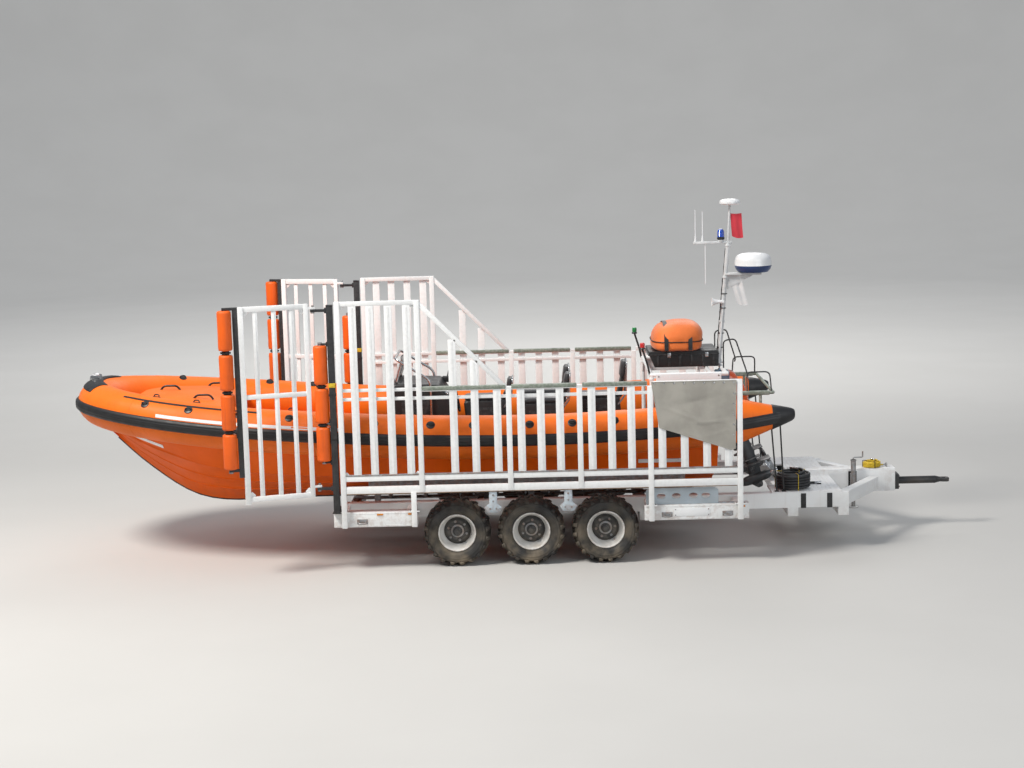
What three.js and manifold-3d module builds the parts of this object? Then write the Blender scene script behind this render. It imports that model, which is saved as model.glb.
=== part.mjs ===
// A rigid-inflatable inshore rescue boat standing on its six-wheeled launching carriage.
// Millimetres, +Z up, z = 0 on the ground under the tyres. +X points at the towing eye, the bow
// points at -X, and port is the -Y side.
import * as THREE from 'three';
import { mergeVertices } from 'three/addons/utils/BufferGeometryUtils.js';
import Module from 'manifold-3d';

const wasm = await Module();
wasm.setup();

// Clearance between neighbouring pieces that are cut or turned to fit each other.
const GAP = 0.3;
const PORT = -1;
const STARBOARD = 1;
const SIDES = [{ word: 'port', side: PORT }, { word: 'starboard', side: STARBOARD }];

// Boat, driving dimensions.
const BOW_X = -5224;
const STERN_X = 3216;
const BEAM = 2850;
const TUBE_R = 250;
const TUBE_SIDES = 24;
const STRAKE_DEPTH = 28;
const STRAKE_HALF_ANGLE = 15;
const TUBE_Y = BEAM / 2 - TUBE_R - STRAKE_DEPTH;
const NOSE_X = BOW_X + TUBE_R + STRAKE_DEPTH;
const BEND_X = -2670;
const CONE_X = 2600;
const CONE_TIP_R = 55;
const STRAKE_END_X = 3040;
const SHEER_LOW_X = 100;
const SHEER_LOW_Z = 1415;
const SHEER_BOW_RISE = 375;
const SHEER_STERN_RISE = 120;
const TRANSOM_X = 2350;
const SOLE_Z = 1300;
const SOLE_TOP = 1315;
const SOLE_BOW_X = -1900;
const RAIL_Y = 430;

// Carriage, driving dimensions.
const AXLE_X = [-646, 195, 1036];
const WHEEL_R = 380;
const TYRE_WIDTH = 360;
const WHEEL_Y = 1320;
const RIM_R = 215;
const WHEEL_SIDES = 20;
const HUB_R = 90;
const LUG_HALF_ANGLE = 0.052;
const SPINDLE_R = 32;
const BEAM_LOW = 500;
const BEAM_TOP = 670;
const INNER_BEAM_Y = 1020;
const OUTER_BEAM_Y = 1500;
const CAGE_Y = 1600;
const CAGE_POST = 60;
const CAGE_TALL_Z = 3050;
const CAGE_LOW_Z = 2080;
const CAGE_SILL_Z = 1060;
const CAGE_TUBE_Z = 930;
const CAGE_SLOPE_END_X = -40;
const EYE_X = 5224;
const DRAWBAR_Z = 575;

// Outboards, driving dimensions, measured from the tilt pivot with the leg upright.
const OUTBOARD_Y = 380;
const PIVOT_X = 2460;
const PIVOT_Z = 1360;
const REST_TILT = 20;
const PROP_Z = -740;
const PROP_X = 340;
const STEER_X = 60;
const STEER_PIN_R = 24;
const STEER_TUBE_R = 44;
const SWIVEL_LOW = -300;
const COWL_PAN_Z = 60;

// Wing gates: hinge pin place and the angle each is swung out at rest.
const HINGE_X = -2160;
const HINGE_Z = [960, 2960];
const HINGE_PIN_R = 14;
const GATE_LENGTH = 830;
const GATE_TOP_Z = 3040;
const GATE_LOW_Z = 900;
const GATE_ANGLE = 16;

const rad = THREE.MathUtils.degToRad;

// Closed mesh from corner points and triangles, turned so that its faces point out.
function closedMesh(points, triangles) {
  let volume = 0;
  const [a, b, c] = [new THREE.Vector3(), new THREE.Vector3(), new THREE.Vector3()];
  for (const [i, j, k] of triangles) {
    a.copy(points[i]);
    b.copy(points[j]);
    c.copy(points[k]);
    volume += a.dot(b.cross(c));
  }
  const wound = volume > 0 ? triangles : triangles.map(([i, j, k]) => [i, k, j]);
  const geometry = new THREE.BufferGeometry();
  geometry.setAttribute('position', new THREE.Float32BufferAttribute(points.flatMap((p) => p.toArray()), 3));
  geometry.setIndex(wound.flat());
  return geometry;
}

// Skin over a row of rings with the same number of points, with a flat cap at each end.
function loft(rings) {
  const count = rings[0].length;
  const triangles = [];
  for (let r = 0; r + 1 < rings.length; r += 1) {
    for (let i = 0; i < count; i += 1) {
      const j = (i + 1) % count;
      const [p, q] = [r * count, (r + 1) * count];
      triangles.push([p + i, p + j, q + j], [p + i, q + j, q + i]);
    }
  }
  const last = (rings.length - 1) * count;
  for (let i = 1; i + 1 < count; i += 1) {
    triangles.push([0, i + 1, i], [last, last + i, last + i + 1]);
  }
  return closedMesh(rings.flat(), triangles);
}

function box(x0, x1, y0, y1, z0, z1) {
  const geometry = new THREE.BoxGeometry(Math.abs(x1 - x0), Math.abs(y1 - y0), Math.abs(z1 - z0));
  return geometry.translate((x0 + x1) / 2, (y0 + y1) / 2, (z0 + z1) / 2);
}

// Straight bar between two points: wide across, tall upward.
function bar(from, to, wide, tall) {
  const [a, b] = [new THREE.Vector3(...from), new THREE.Vector3(...to)];
  const along = b.clone().sub(a);
  const length = along.length();
  const x = along.normalize();
  const up = Math.abs(x.z) > 0.99 ? new THREE.Vector3(1, 0, 0) : new THREE.Vector3(0, 0, 1);
  const y = up.clone().cross(x).normalize();
  const z = x.clone().cross(y);
  const geometry = new THREE.BoxGeometry(length, wide, tall);
  geometry.applyMatrix4(new THREE.Matrix4().makeBasis(x, y, z));
  const middle = a.add(b).multiplyScalar(0.5);
  return geometry.translate(middle.x, middle.y, middle.z);
}

function rod(from, to, radius, sides = 8) {
  const [a, b] = [new THREE.Vector3(...from), new THREE.Vector3(...to)];
  const along = b.clone().sub(a);
  const geometry = new THREE.CylinderGeometry(radius, radius, along.length(), sides);
  const turn = new THREE.Quaternion();
  turn.setFromUnitVectors(new THREE.Vector3(0, 1, 0), along.clone().normalize());
  geometry.applyQuaternion(turn);
  const middle = a.add(b).multiplyScalar(0.5);
  return geometry.translate(middle.x, middle.y, middle.z);
}

// Cutter for a hole that a pin of this radius turns in, clear all round.
function bore(from, to, pinRadius, sides = 8) {
  return rod(from, to, (pinRadius + GAP) / Math.cos(Math.PI / sides), sides);
}

// Solid turned about the Y axis: rows are [radius, y].
function turnedY(rows, segments) {
  const profile = rows.map(([r, y]) => new THREE.Vector2(r, y));
  return new THREE.LatheGeometry(profile, segments);
}

function turnedZ(rows, segments) {
  return turnedY(rows, segments).rotateX(Math.PI / 2);
}

// Prism: an outline of [x, z] corners, extruded from y0 to y1.
function prismY(corners, y0, y1) {
  const shape = new THREE.Shape(corners.map(([x, z]) => new THREE.Vector2(x, z)));
  const geometry = new THREE.ExtrudeGeometry(shape, { depth: Math.abs(y1 - y0), bevelEnabled: false });
  return geometry.rotateX(Math.PI / 2).translate(0, Math.max(y0, y1), 0);
}

// Prism: an outline of [x, y] corners, extruded from z0 to z1.
function prismZ(corners, z0, z1) {
  const shape = new THREE.Shape(corners.map(([x, y]) => new THREE.Vector2(x, y)));
  const geometry = new THREE.ExtrudeGeometry(shape, { depth: z1 - z0, bevelEnabled: false });
  return geometry.translate(0, 0, z0);
}

// Closed form through level rings of rounded rectangles: rows are [x0, x1, half-width, z].
function levelLoft(rows, around) {
  return loft(rows.map(([x0, x1, half, z]) => Array.from({ length: around }, (_, i) => {
    const turn = (2 * Math.PI * (i + 0.5)) / around;
    const square = (v) => Math.sign(v) * Math.abs(v) ** 0.55;
    const x = (x0 + x1) / 2 + ((x1 - x0) / 2) * square(Math.cos(turn));
    return new THREE.Vector3(x, half * square(Math.sin(turn)), z);
  })));
}

// Round bar along a path of points, mitred at each corner.
function bentRod(path, radius, sides = 6) {
  const points = path.map((p) => new THREE.Vector3(...p));
  const ways = points.slice(1).map((point, i) => point.clone().sub(points[i]).normalize());
  const across = new THREE.Vector3(0, 1, 0).cross(ways[0]);
  across.set(...(across.length() < 0.1 ? [1, 0, 0] : across.toArray())).normalize();
  const upward = ways[0].clone().cross(across);
  const rings = [Array.from({ length: sides }, (_, i) => {
    const turn = (2 * Math.PI * (i + 0.5)) / sides;
    const spoke = across.clone().multiplyScalar(Math.cos(turn)).addScaledVector(upward, Math.sin(turn));
    return points[0].clone().addScaledVector(spoke, radius);
  })];
  ways.forEach((way, i) => {
    const mitre = way.clone().add(ways[Math.min(i + 1, ways.length - 1)]).normalize();
    rings.push(rings[i].map((corner) => {
      const travel = points[i + 1].clone().sub(corner).dot(mitre) / way.dot(mitre);
      return corner.clone().addScaledVector(way, travel);
    }));
  });
  return loft(rings);
}

function solidOf(geometry) {
  const bare = geometry.clone();
  bare.deleteAttribute('normal');
  bare.deleteAttribute('uv');
  const merged = mergeVertices(bare, 0.001);
  const vertProperties = new Float32Array(merged.attributes.position.array);
  const triVerts = new Uint32Array(merged.index.array);
  return new wasm.Manifold(new wasm.Mesh({ numProp: 3, vertProperties, triVerts }));
}

function geometryOf(solid) {
  const mesh = solid.getMesh();
  const geometry = new THREE.BufferGeometry();
  geometry.setAttribute('position', new THREE.Float32BufferAttribute(mesh.vertProperties, 3));
  geometry.setIndex(new THREE.Uint32BufferAttribute(mesh.triVerts, 1));
  return geometry;
}

function join(geometries) {
  return geometryOf(geometries.map(solidOf).reduce((whole, piece) => whole.add(piece)));
}

function cut(geometry, ...tools) {
  return geometryOf(tools.map(solidOf).reduce((whole, tool) => whole.subtract(tool), solidOf(geometry)));
}

const PAINT = {
  orange: { color: 0xd8481c, roughness: 0.55, metalness: 0 },
  foam: { color: 0xe0601c, roughness: 0.8, metalness: 0 },
  white: { color: 0xd9dcd8, roughness: 0.5, metalness: 0.1 },
  black: { color: 0x17181a, roughness: 0.75, metalness: 0 },
  rubber: { color: 0x1c1c1d, roughness: 0.9, metalness: 0 },
  grey: { color: 0x6f7778, roughness: 0.6, metalness: 0.2 },
  steel: { color: 0x9aa0a2, roughness: 0.45, metalness: 0.8 },
  cloth: { color: 0x6d7376, roughness: 0.95, metalness: 0 },
  blue: { color: 0x1c4fa8, roughness: 0.3, metalness: 0 },
  green: { color: 0x66736a, roughness: 0.6, metalness: 0.2 },
};

const whole = new THREE.Group();

function place(name, geometry, paint, parent = whole) {
  const mesh = new THREE.Mesh(geometry, new THREE.MeshStandardMaterial(PAINT[paint]));
  mesh.name = name;
  parent.add(mesh);
  return mesh;
}

// Height of the inflatable tube's centre line: lowest amidships, rising to bow and stern.
function sheer(x) {
  if (x > SHEER_LOW_X) {
    return SHEER_LOW_Z + SHEER_STERN_RISE * ((x - SHEER_LOW_X) / (CONE_X - SHEER_LOW_X)) ** 2;
  }
  return SHEER_LOW_Z + SHEER_BOW_RISE * ((SHEER_LOW_X - x) / (SHEER_LOW_X - NOSE_X)) ** 1.8;
}

// Half-breadth of the tube's centre line: straight sides, then an ellipse round the nose.
function tubeY(x) {
  if (x >= BEND_X) {
    return TUBE_Y;
  }
  return TUBE_Y * Math.sqrt(Math.max(0, 1 - ((x - BEND_X) / (NOSE_X - BEND_X)) ** 2));
}

// Stations along the tube from the port cone round the nose to the starboard cone. Each has
// its centre, the outward direction and the radius.
function tubeStations(sternX) {
  const straight = [STERN_X, STRAKE_END_X, CONE_X, 1700, 900, 0, -900, -1800, BEND_X].filter((x) => x <= sternX);
  if (straight[0] !== sternX) {
    straight.unshift(sternX);
  }
  const half = straight.map((x) => ({ x, y: TUBE_Y, out: [0, 1] }));
  const steps = 7;
  for (let i = 1; i <= steps; i += 1) {
    const turn = (Math.PI / 2) * (i / steps);
    const x = BEND_X + (NOSE_X - BEND_X) * Math.sin(turn);
    const y = TUBE_Y * Math.cos(turn);
    const out = new THREE.Vector2(-TUBE_Y * Math.sin(turn), (BEND_X - NOSE_X) * Math.cos(turn)).normalize();
    half.push({ x, y, out: [out.x, out.y] });
  }
  const nose = half.length - 1;
  const port = half.map((s) => ({ ...s, y: -s.y, out: [s.out[0], -s.out[1]] }));
  const all = [...port.slice(0, nose), { x: NOSE_X, y: 0, out: [-1, 0] }, ...half.slice(0, nose).reverse()];
  return all.map((s) => {
    const taper = Math.max(0, (s.x - CONE_X) / (STERN_X - CONE_X));
    return { ...s, z: sheer(s.x), r: TUBE_R + (CONE_TIP_R - TUBE_R) * taper };
  });
}

// Ring of points round one station: rows are [angle in degrees above outward, extra radius].
function stationRing(station, rows) {
  return rows.map(([angle, extra]) => {
    const reach = (station.r + extra) * Math.cos(rad(angle));
    const rise = (station.r + extra) * Math.sin(rad(angle));
    const [outX, outY] = station.out;
    return new THREE.Vector3(station.x + outX * reach, station.y + outY * reach, station.z + rise);
  });
}

function circleRows(extra) {
  const step = 360 / TUBE_SIDES;
  return Array.from({ length: TUBE_SIDES }, (_, i) => [i * step, extra]);
}

function tubeSolid(extra) {
  return loft(tubeStations(STERN_X).map((s) => stationRing(s, circleRows(extra))));
}

const tubeCutter = tubeSolid(GAP);

// Deep-V hull below the tubes: sections from stem to transom.
function hull() {
  // columns: x, keel height, chine half-breadth, chine height, height at the tube
  const sections = [
    [-4850, 1440, 40, 1520, 1640],
    [-4430, 1040, 330, 1330, 1580],
    [-3914, 670, 620, 1180, 1520],
    [-3500, 556, 780, 1090, 1470],
    [-2900, 560, 900, 1020, 1400],
    [SOLE_BOW_X, 568, 950, 975, SOLE_Z],
    [TRANSOM_X, 600, 950, 985, SOLE_Z],
  ];
  const rings = sections.map(([x, keelZ, chineY, chineZ, topZ]) => {
    const topY = Math.max(60, tubeY(x) - 20);
    return [[0, keelZ], [-chineY, chineZ], [-topY, topZ], [topY, topZ], [chineY, chineZ]]
      .map(([y, z]) => new THREE.Vector3(x, y, z));
  });
  return cut(loft(rings), tubeCutter);
}

const hullSolid = hull();
const hullCutter = hullSolid.clone().translate(0, 0, -GAP);

function keelZ(x) {
  return 568 + (32 * (x - SOLE_BOW_X)) / (TRANSOM_X - SOLE_BOW_X);
}

function buildBoatBody() {
  place('hull', hullSolid, 'orange');
  place('tube_collar', tubeSolid(0), 'orange');
  const inner = [-STRAKE_HALF_ANGLE, 0, STRAKE_HALF_ANGLE].map((a) => [a, GAP]);
  const outer = [0.72, 0, -0.72].map((part) => [part * STRAKE_HALF_ANGLE, STRAKE_DEPTH]);
  const strake = loft(tubeStations(STRAKE_END_X).map((s) => stationRing(s, [...inner, ...outer])));
  place('rubbing_strake', strake, 'black');
  // Pad wrapped over the top of the nose.
  const padRows = [[45, -60], [105, -60], [105, 18], [75, 18], [45, 14]];
  const noseStations = tubeStations(STRAKE_END_X).filter((s) => s.x < NOSE_X + 160);
  const nosePad = loft(noseStations.map((s) => stationRing(s, padRows)));
  place('nose_pad', cut(nosePad, tubeCutter), 'black');
  const sole = box(SOLE_BOW_X, TRANSOM_X, -TUBE_Y, TUBE_Y, SOLE_Z, SOLE_TOP);
  place('cockpit_sole', cut(sole, tubeCutter), 'grey');
}

// Raised orange spray cover between the tubes at the bow, over the foredeck.
function buildForedeckCover() {
  // columns: x, height at the centre
  const spine = [[-4560, 1860], [-4200, 1900], [-3700, 1880], [-3250, 1800]];
  const rings = spine.map(([x, topZ]) => {
    const edgeY = Math.max(80, tubeY(x) - 60);
    const low = 1445 + ((x + 2900) * (1650 - 1445)) / (-4850 + 2900) + 60;
    return [[-edgeY, low], [-edgeY, low + 160], [-edgeY * 0.5, topZ - 20], [edgeY * 0.5, topZ - 20],
      [edgeY, low + 160], [edgeY, low]].map(([y, z]) => new THREE.Vector3(x, y, z));
  });
  const deck = hullSolid.clone().translate(0, 0, GAP);
  return place('foredeck_cover', cut(loft(rings), tubeCutter, deck), 'orange');
}

function buildCockpit() {
  const consoleShape = [[-1450, SOLE_TOP], [-700, SOLE_TOP], [-700, 1700], [-860, 1930], [-1380, 1950],
    [-1450, 1880]];
  // Grab rail round the screen, carried by two cross bars through the console.
  const railSide = [[-950, 1450], [-950, 1990], [-1360, 2250]];
  const otherSide = [...railSide].reverse();
  const rail = [...railSide.map(([x, z]) => [x, -RAIL_Y, z]), ...otherSide.map(([x, z]) => [x, RAIL_Y, z])];
  const railFeet = [1465, 1780].map((z) => rod([-950, -RAIL_Y, z], [-950, RAIL_Y, z], 12));
  const block = prismY(consoleShape, -400, 400);
  place('steering_console', join([block, bentRod(rail, 15, 8), ...railFeet]), 'black');
  const screen = [[-1400, 1950.5], [-1380, 1950.5], [-1300, 2225], [-1320, 2225]];
  place('windscreen', prismY(screen, -380, 380), 'black');
  // columns: node name, aft end x, height of the back, seat centres in y
  const seats = [
    ['seat_helm', 20, 1960, [0]],
    ['seats_crew', 700, 2045, [-330, 330]],
    ['seat_aft', 1380, 2135, [0]],
  ];
  for (const [name, x, backZ, centres] of seats) {
    const outline = [[x - 580, SOLE_TOP], [x - 60, SOLE_TOP], [x, backZ - 20], [x - 20, backZ],
      [x - 70, backZ], [x - 130, 1760], [x - 580, 1740], [x - 620, 1700]];
    const pieces = centres.map((y) => prismY(outline, y - 150, y + 150));
    if (centres.length > 1) {
      pieces.push(box(x - 560, x - 80, -200, 200, SOLE_TOP, SOLE_TOP + 120));
    }
    place(name, join(pieces), 'black');
  }
}

const GANTRY_Z = 2035;
const GANTRY_FRONT_X = 1620;
const GANTRY_REAR_X = 2300;
const GANTRY_END_X = 2480;
const GANTRY_Y = 800;
const GANTRY_R = 24;
const BAG_SEAT_Z = 2250;

function buildGantry() {
  const pieces = [];
  for (const { side } of SIDES) {
    const y = side * GANTRY_Y;
    pieces.push(rod([GANTRY_FRONT_X, y, SOLE_TOP], [GANTRY_FRONT_X, y, GANTRY_Z], GANTRY_R));
    pieces.push(rod([GANTRY_REAR_X, y, SOLE_TOP], [GANTRY_REAR_X, y, GANTRY_Z], GANTRY_R));
    const [railStart, railEnd] = [GANTRY_FRONT_X - GANTRY_R, GANTRY_END_X + GANTRY_R];
    pieces.push(rod([railStart, y, GANTRY_Z], [railEnd, y, GANTRY_Z], GANTRY_R));
  }
  for (const x of [GANTRY_FRONT_X, GANTRY_REAR_X, GANTRY_END_X]) {
    pieces.push(rod([x, -GANTRY_Y, GANTRY_Z], [x, GANTRY_Y, GANTRY_Z], GANTRY_R));
  }
  for (const { side } of SIDES) {
    const inner = side * (GANTRY_Y + GANTRY_R - 6);
    pieces.push(box(1670, 2420, inner, inner + side * 14, 1870, 2050));
    // Side lamp on its raked stalk.
    const stalk = [[1600, GANTRY_Z], [1575, 2160], [1520, 2340]].map(([x, z]) => [x, side * GANTRY_Y, z]);
    const lamp = rod([1520, side * GANTRY_Y, 2330], [1520, side * GANTRY_Y, 2418], 30, 10);
    pieces.push(bentRod(stalk, 12), lamp);
  }
  place('gantry_frame', join(pieces), 'white');
  const shelfZ = GANTRY_Z + GANTRY_R;
  const boxSide = [[1690, shelfZ], [2440, shelfZ], [2440, 2238], [2428, BAG_SEAT_Z], [1630, BAG_SEAT_Z],
    [1618, 2238]];
  place('gantry_box', prismY(boxSide, -330, 330), 'black');
  // columns: fore end, aft end, half-width, height above the seat
  const bag = [[1682, 2262, 392, GAP], [1656, 2276, 412, 40], [1655, 2284, 406, 100], [1678, 2286, 398, 160],
    [1710, 2270, 378, 220], [1750, 2246, 348, 268], [1840, 2200, 290, 306], [1930, 2120, 190, 330]];
  place('righting_bag', levelLoft(bag, 16).translate(0, 0, BAG_SEAT_Z), 'orange');
}

const MAST_HEAD = [2600, 0, 3490];
const POLE_TOP_Z = 3930;
const LAMP_X = 2515;

function buildMast() {
  const shelfZ = GANTRY_Z + GANTRY_R;
  const foot = box(2445, 2520, -60, 60, shelfZ, shelfZ + 20);
  const column = rod([2475, 0, shelfZ + 10], MAST_HEAD, 28);
  const pole = rod(MAST_HEAD, [2625, 0, POLE_TOP_Z], 16);
  const yard = bar([2190, 0, 3490], [2645, 0, 3490], 40, 30);
  const radarArm = bar([2560, 0, 3115], [2990, 0, 3115], 90, 30);
  const lampSeat = rod([LAMP_X, 0, 3490], [LAMP_X, 0, 3525], 34);
  // columns: x, tip height
  const whips = [[2215, 3885], [2300, 3860]].map(([x, tipZ]) => rod([x, 0, 3495], [x, 0, tipZ], 8, 8));
  const cap = turnedZ([[0, 0], [70, 0], [122, 18], [118, 50], [70, 72], [0, 78]], 16);
  cap.translate(2625, 0, POLE_TOP_Z - 2);
  const struts = [-1, 1].map((way) => rod([2462, way * 120, shelfZ + 10], [2535, way * 12, 2750], 12, 6));
  const horn = rod([2520, -35, 2790], [2400, -35, 2790], 30, 8);
  const hornArm = box(2490, 2560, -60, 20, 2775, 2805);
  const footBar = box(2452, 2472, -130, 130, shelfZ, shelfZ + 20);
  const upper = [pole, yard, radarArm, lampSeat, cap, horn, hornArm, ...whips];
  place('mast', join([foot, footBar, column, ...upper, ...struts]), 'grey');
  const dome = turnedZ([[0, 0], [175, 0], [215, 60], [218, 130], [190, 195], [120, 225], [0, 232]], 20);
  place('radar_dome', dome.translate(2895, 0, 3130 + GAP), 'white');
  const lamp = turnedZ([[0, 0], [42, 0], [44, 90], [30, 118], [0, 126]], 12);
  place('blue_lamp', lamp.translate(LAMP_X, 0, 3525 + GAP), 'blue');
  place('flag_upper', flag(2635.8, 2780, 3540, 3830), 'white');
  place('flag_lower', flag(2640, 2830, 2740, 3100 - GAP), 'white');
}

// Cloth hanging in upright folds.
function flag(x0, x1, z0, z1) {
  const folds = [0, 12, -2, -12, 0, 12, 0];
  const near = folds.map((y, i) => [x0 + ((x1 - x0) * i) / (folds.length - 1), y - 3]);
  const far = folds.map((y, i) => [x0 + ((x1 - x0) * i) / (folds.length - 1), y + 3]);
  return prismZ([...near, ...far.reverse()], z0, z1);
}

function buildSternGuard() {
  const pieces = [];
  const start = GANTRY_REAR_X + GANTRY_R + GAP;
  const aft = 3030;
  for (const { side } of SIDES) {
    const y = side * GANTRY_Y;
    pieces.push(rod([start, y, 1800], [aft, y, 1800], 18));
    pieces.push(rod([start, y, 1500], [aft - 150, y, 1500], 18));
    pieces.push(rod([aft - 160, y, 1490], [aft - 160, y, 1800], 18));
    pieces.push(rod([2640, y, 1500], [2640, y, 1800], 18));
    // Thin hoops over the guard.
    const hoop = [[2720, 800, 1800], [2725, 700, 2030], [2990, 700, 2030], [3000, 800, 1800]];
    pieces.push(bentRod(hoop.map(([x, out, z]) => [x, side * out, z]), 9));
  }
  pieces.push(rod([aft - 10, -GANTRY_Y - 15, 1800], [aft - 10, GANTRY_Y + 15, 1800], 18));
  place('stern_guard', join(pieces), 'green');
}

// Outboards. Shapes are drawn with the leg upright and the tilt pivot at the origin, then tilted.
function buildOutboard(word, side) {
  const y = side * OUTBOARD_Y;
  const plateX = TRANSOM_X - PIVOT_X;
  const clamp = [box(plateX, plateX + 25, -110, 110, -260, -20)];
  for (const cheek of [PORT, STARBOARD]) {
    const corners = [[plateX + 20, -240], [plateX + 60, -240], [30, -30], [30, 30], [-30, 30],
      [plateX + 20, -30]];
    clamp.push(prismY(corners, cheek * 105, cheek * 85));
  }
  clamp.push(rod([0, -105, 0], [0, 105, 0], 14));
  place(`outboard_bracket_${word}`, join(clamp), 'grey').position.set(PIVOT_X, y, PIVOT_Z);

  const tilted = new THREE.Group();
  tilted.position.set(PIVOT_X, y, PIVOT_Z);
  tilted.rotation.y = -rad(REST_TILT);
  whole.add(tilted);

  // The steering tube is round, so that the leg turns round it.
  const swivelBlock = join([
    box(-30, STEER_X + 10, -70, 70, -40, 40),
    rod([STEER_X, 0, SWIVEL_LOW], [STEER_X, 0, COWL_PAN_Z - GAP], STEER_TUBE_R, 16),
  ]);
  const swivel = cut(swivelBlock, bore([0, -200, 0], [0, 200, 0], 14),
    bore([STEER_X, 0, -400], [STEER_X, 0, 400], STEER_PIN_R, 16));
  place(`outboard_swivel_${word}`, swivel, 'grey', tilted);

  // columns: fore edge, aft edge, half-width, height
  const cowl = [[10, 370, 130, 141], [-20, 402, 168, 158], [-20, 408, 170, 200], [-14, 418, 168, 340],
    [8, 398, 156, 425], [58, 335, 118, 468], [140, 250, 45, 480]];
  const pan = [[0, COWL_PAN_Z], [300, COWL_PAN_Z], [400, 145], [-20, 145]];
  const leg = [[STEER_X + 50, 100], [STEER_X + 50, -620], [STEER_X + 190, -620], [STEER_X + 170, 100]];
  const engine = join([
    levelLoft(cowl, 16),
    prismY(pan, -120, 120),
    prismY(leg, -50, 50),
    rod([STEER_X, 0, -330], [STEER_X, 0, 100], STEER_PIN_R, 16),
    box(STEER_X - 30, STEER_X + 120, -30, 30, -335, -310),
    prismZ([[30, -40], [30, 40], [120, 110], [400, 110], [400, -110], [120, -110]], -562, -546),
    prismY([[90, -615], [250, -615], [230, -760], [90, -760]], -28, 28),
    turnedY([[0, -60], [40, -20], [58, 60], [60, 220], [52, PROP_X - 20], [38, PROP_X - GAP],
      [0, PROP_X - GAP]], 12).rotateZ(-Math.PI / 2).translate(0, 0, PROP_Z),
    prismY([[80, -780], [220, -780], [200, -860], [150, -862]], -8, 8),
    rod([PROP_X - 20, 0, PROP_Z], [PROP_X + 70, 0, PROP_Z], 12),
  ]);
  place(`outboard_engine_${word}`, engine, 'orange', tilted);

  const blades = [];
  for (let i = 0; i < 3; i += 1) {
    const blade = new THREE.BoxGeometry(14, 150, 95).translate(0, 88, 0).rotateY(rad(32));
    blades.push(blade.rotateX((i * 2 * Math.PI) / 3).translate(PROP_X + 45, 0, PROP_Z));
  }
  const hub = rod([PROP_X, 0, PROP_Z], [PROP_X + 90, 0, PROP_Z], 38, 12);
  const propeller = cut(join([hub, ...blades]), bore([PROP_X - 50, 0, PROP_Z], [PROP_X + 75, 0, PROP_Z], 12));
  place(`propeller_${word}`, propeller, 'steel', tilted);
}

// Cross members hang below the long beams, clear of the keel and of the lowered outboards.
const CROSS_LOW = 400;
const FRONT_DECK_TOP = BEAM_TOP + 18;
const BAY_Y = 640;
const BAY_X = 3300;
const JACK_X = 4050;
const JACK_Y = -175;
const CROSS_X = [-1900, 1500, 2120, 3200, 3780];

function buildChassis() {
  const pieces = [];
  for (const { side } of SIDES) {
    const inner = side * (INNER_BEAM_Y - 60);
    pieces.push(box(-1960, 3840, inner, inner + side * 120, BEAM_LOW, BEAM_TOP));
    const outer = side * (OUTER_BEAM_Y - 70);
    pieces.push(box(-2020, -1080, outer, outer + side * 140, BEAM_LOW, BEAM_TOP));
    pieces.push(box(1470, 2640, outer, outer + side * 140, BEAM_LOW, BEAM_TOP));
    for (const x of [-1930, -1160, 1540, 2540]) {
      const [y0, y1] = [side * INNER_BEAM_Y, side * OUTER_BEAM_Y];
      pieces.push(box(x - 50, x + 50, y0, y1, BEAM_LOW + 20, BEAM_TOP - 20));
    }
    // Slanted beams from the long beams in to the neck.
    pieces.push(bar([3780, side * 1000, 585], [4300, side * 150, 585], 110, 150));
  }
  for (const x of CROSS_X) {
    pieces.push(box(x - 60, x + 60, -INNER_BEAM_Y - 60, INNER_BEAM_Y + 60, CROSS_LOW, BEAM_LOW + 10));
  }
  pieces.push(box(3150, BAY_X + 10, -110, 110, 470, 510), box(BAY_X, 4560, -110, 110, 470, 745));
  // Jack beside the neck. columns: low end, high end, radius
  pieces.push(box(4020, 4080, -150, -105, 560, 700));
  for (const [z0, z1, radius] of [[292, 306, 56], [300, 410, 23], [400, 872, 30]]) {
    pieces.push(rod([JACK_X, JACK_Y, z0], [JACK_X, JACK_Y, z1], radius, 12));
  }
  // Deck plate, with a bay in its middle for the outboards' legs.
  const deckY = INNER_BEAM_Y + 60;
  pieces.push(prismZ([[2960, -deckY], [3760, -deckY], [3760, deckY], [2960, deckY], [2960, BAY_Y],
    [BAY_X, BAY_Y], [BAY_X, -BAY_Y], [2960, -BAY_Y]], BEAM_TOP - 4, FRONT_DECK_TOP));
  place('chassis_frame', join(pieces), 'white');
  const tube = rod([4400 + 160 + GAP, 0, DRAWBAR_Z], [5060, 0, DRAWBAR_Z], 45, 12);
  const collar = box(4560 + GAP, 4610, -90, 90, 485, 665);
  const taper = new THREE.CylinderGeometry(30, 45, 60, 12).rotateZ(-Math.PI / 2);
  taper.translate(5088, 0, DRAWBAR_Z);
  const eyePlate = prismZ([[5090, -35], [5150, -60], [EYE_X - 25, -60], [EYE_X, -30], [EYE_X, 30],
    [EYE_X - 25, 60], [5150, 60], [5090, 35]], DRAWBAR_Z - 20, DRAWBAR_Z + 20);
  const eyeHole = rod([EYE_X - 62, 0, 400], [EYE_X - 62, 0, 700], 26, 16);
  place('drawbar', cut(join([tube, collar, taper, eyePlate]), eyeHole), 'black');
}

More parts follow.
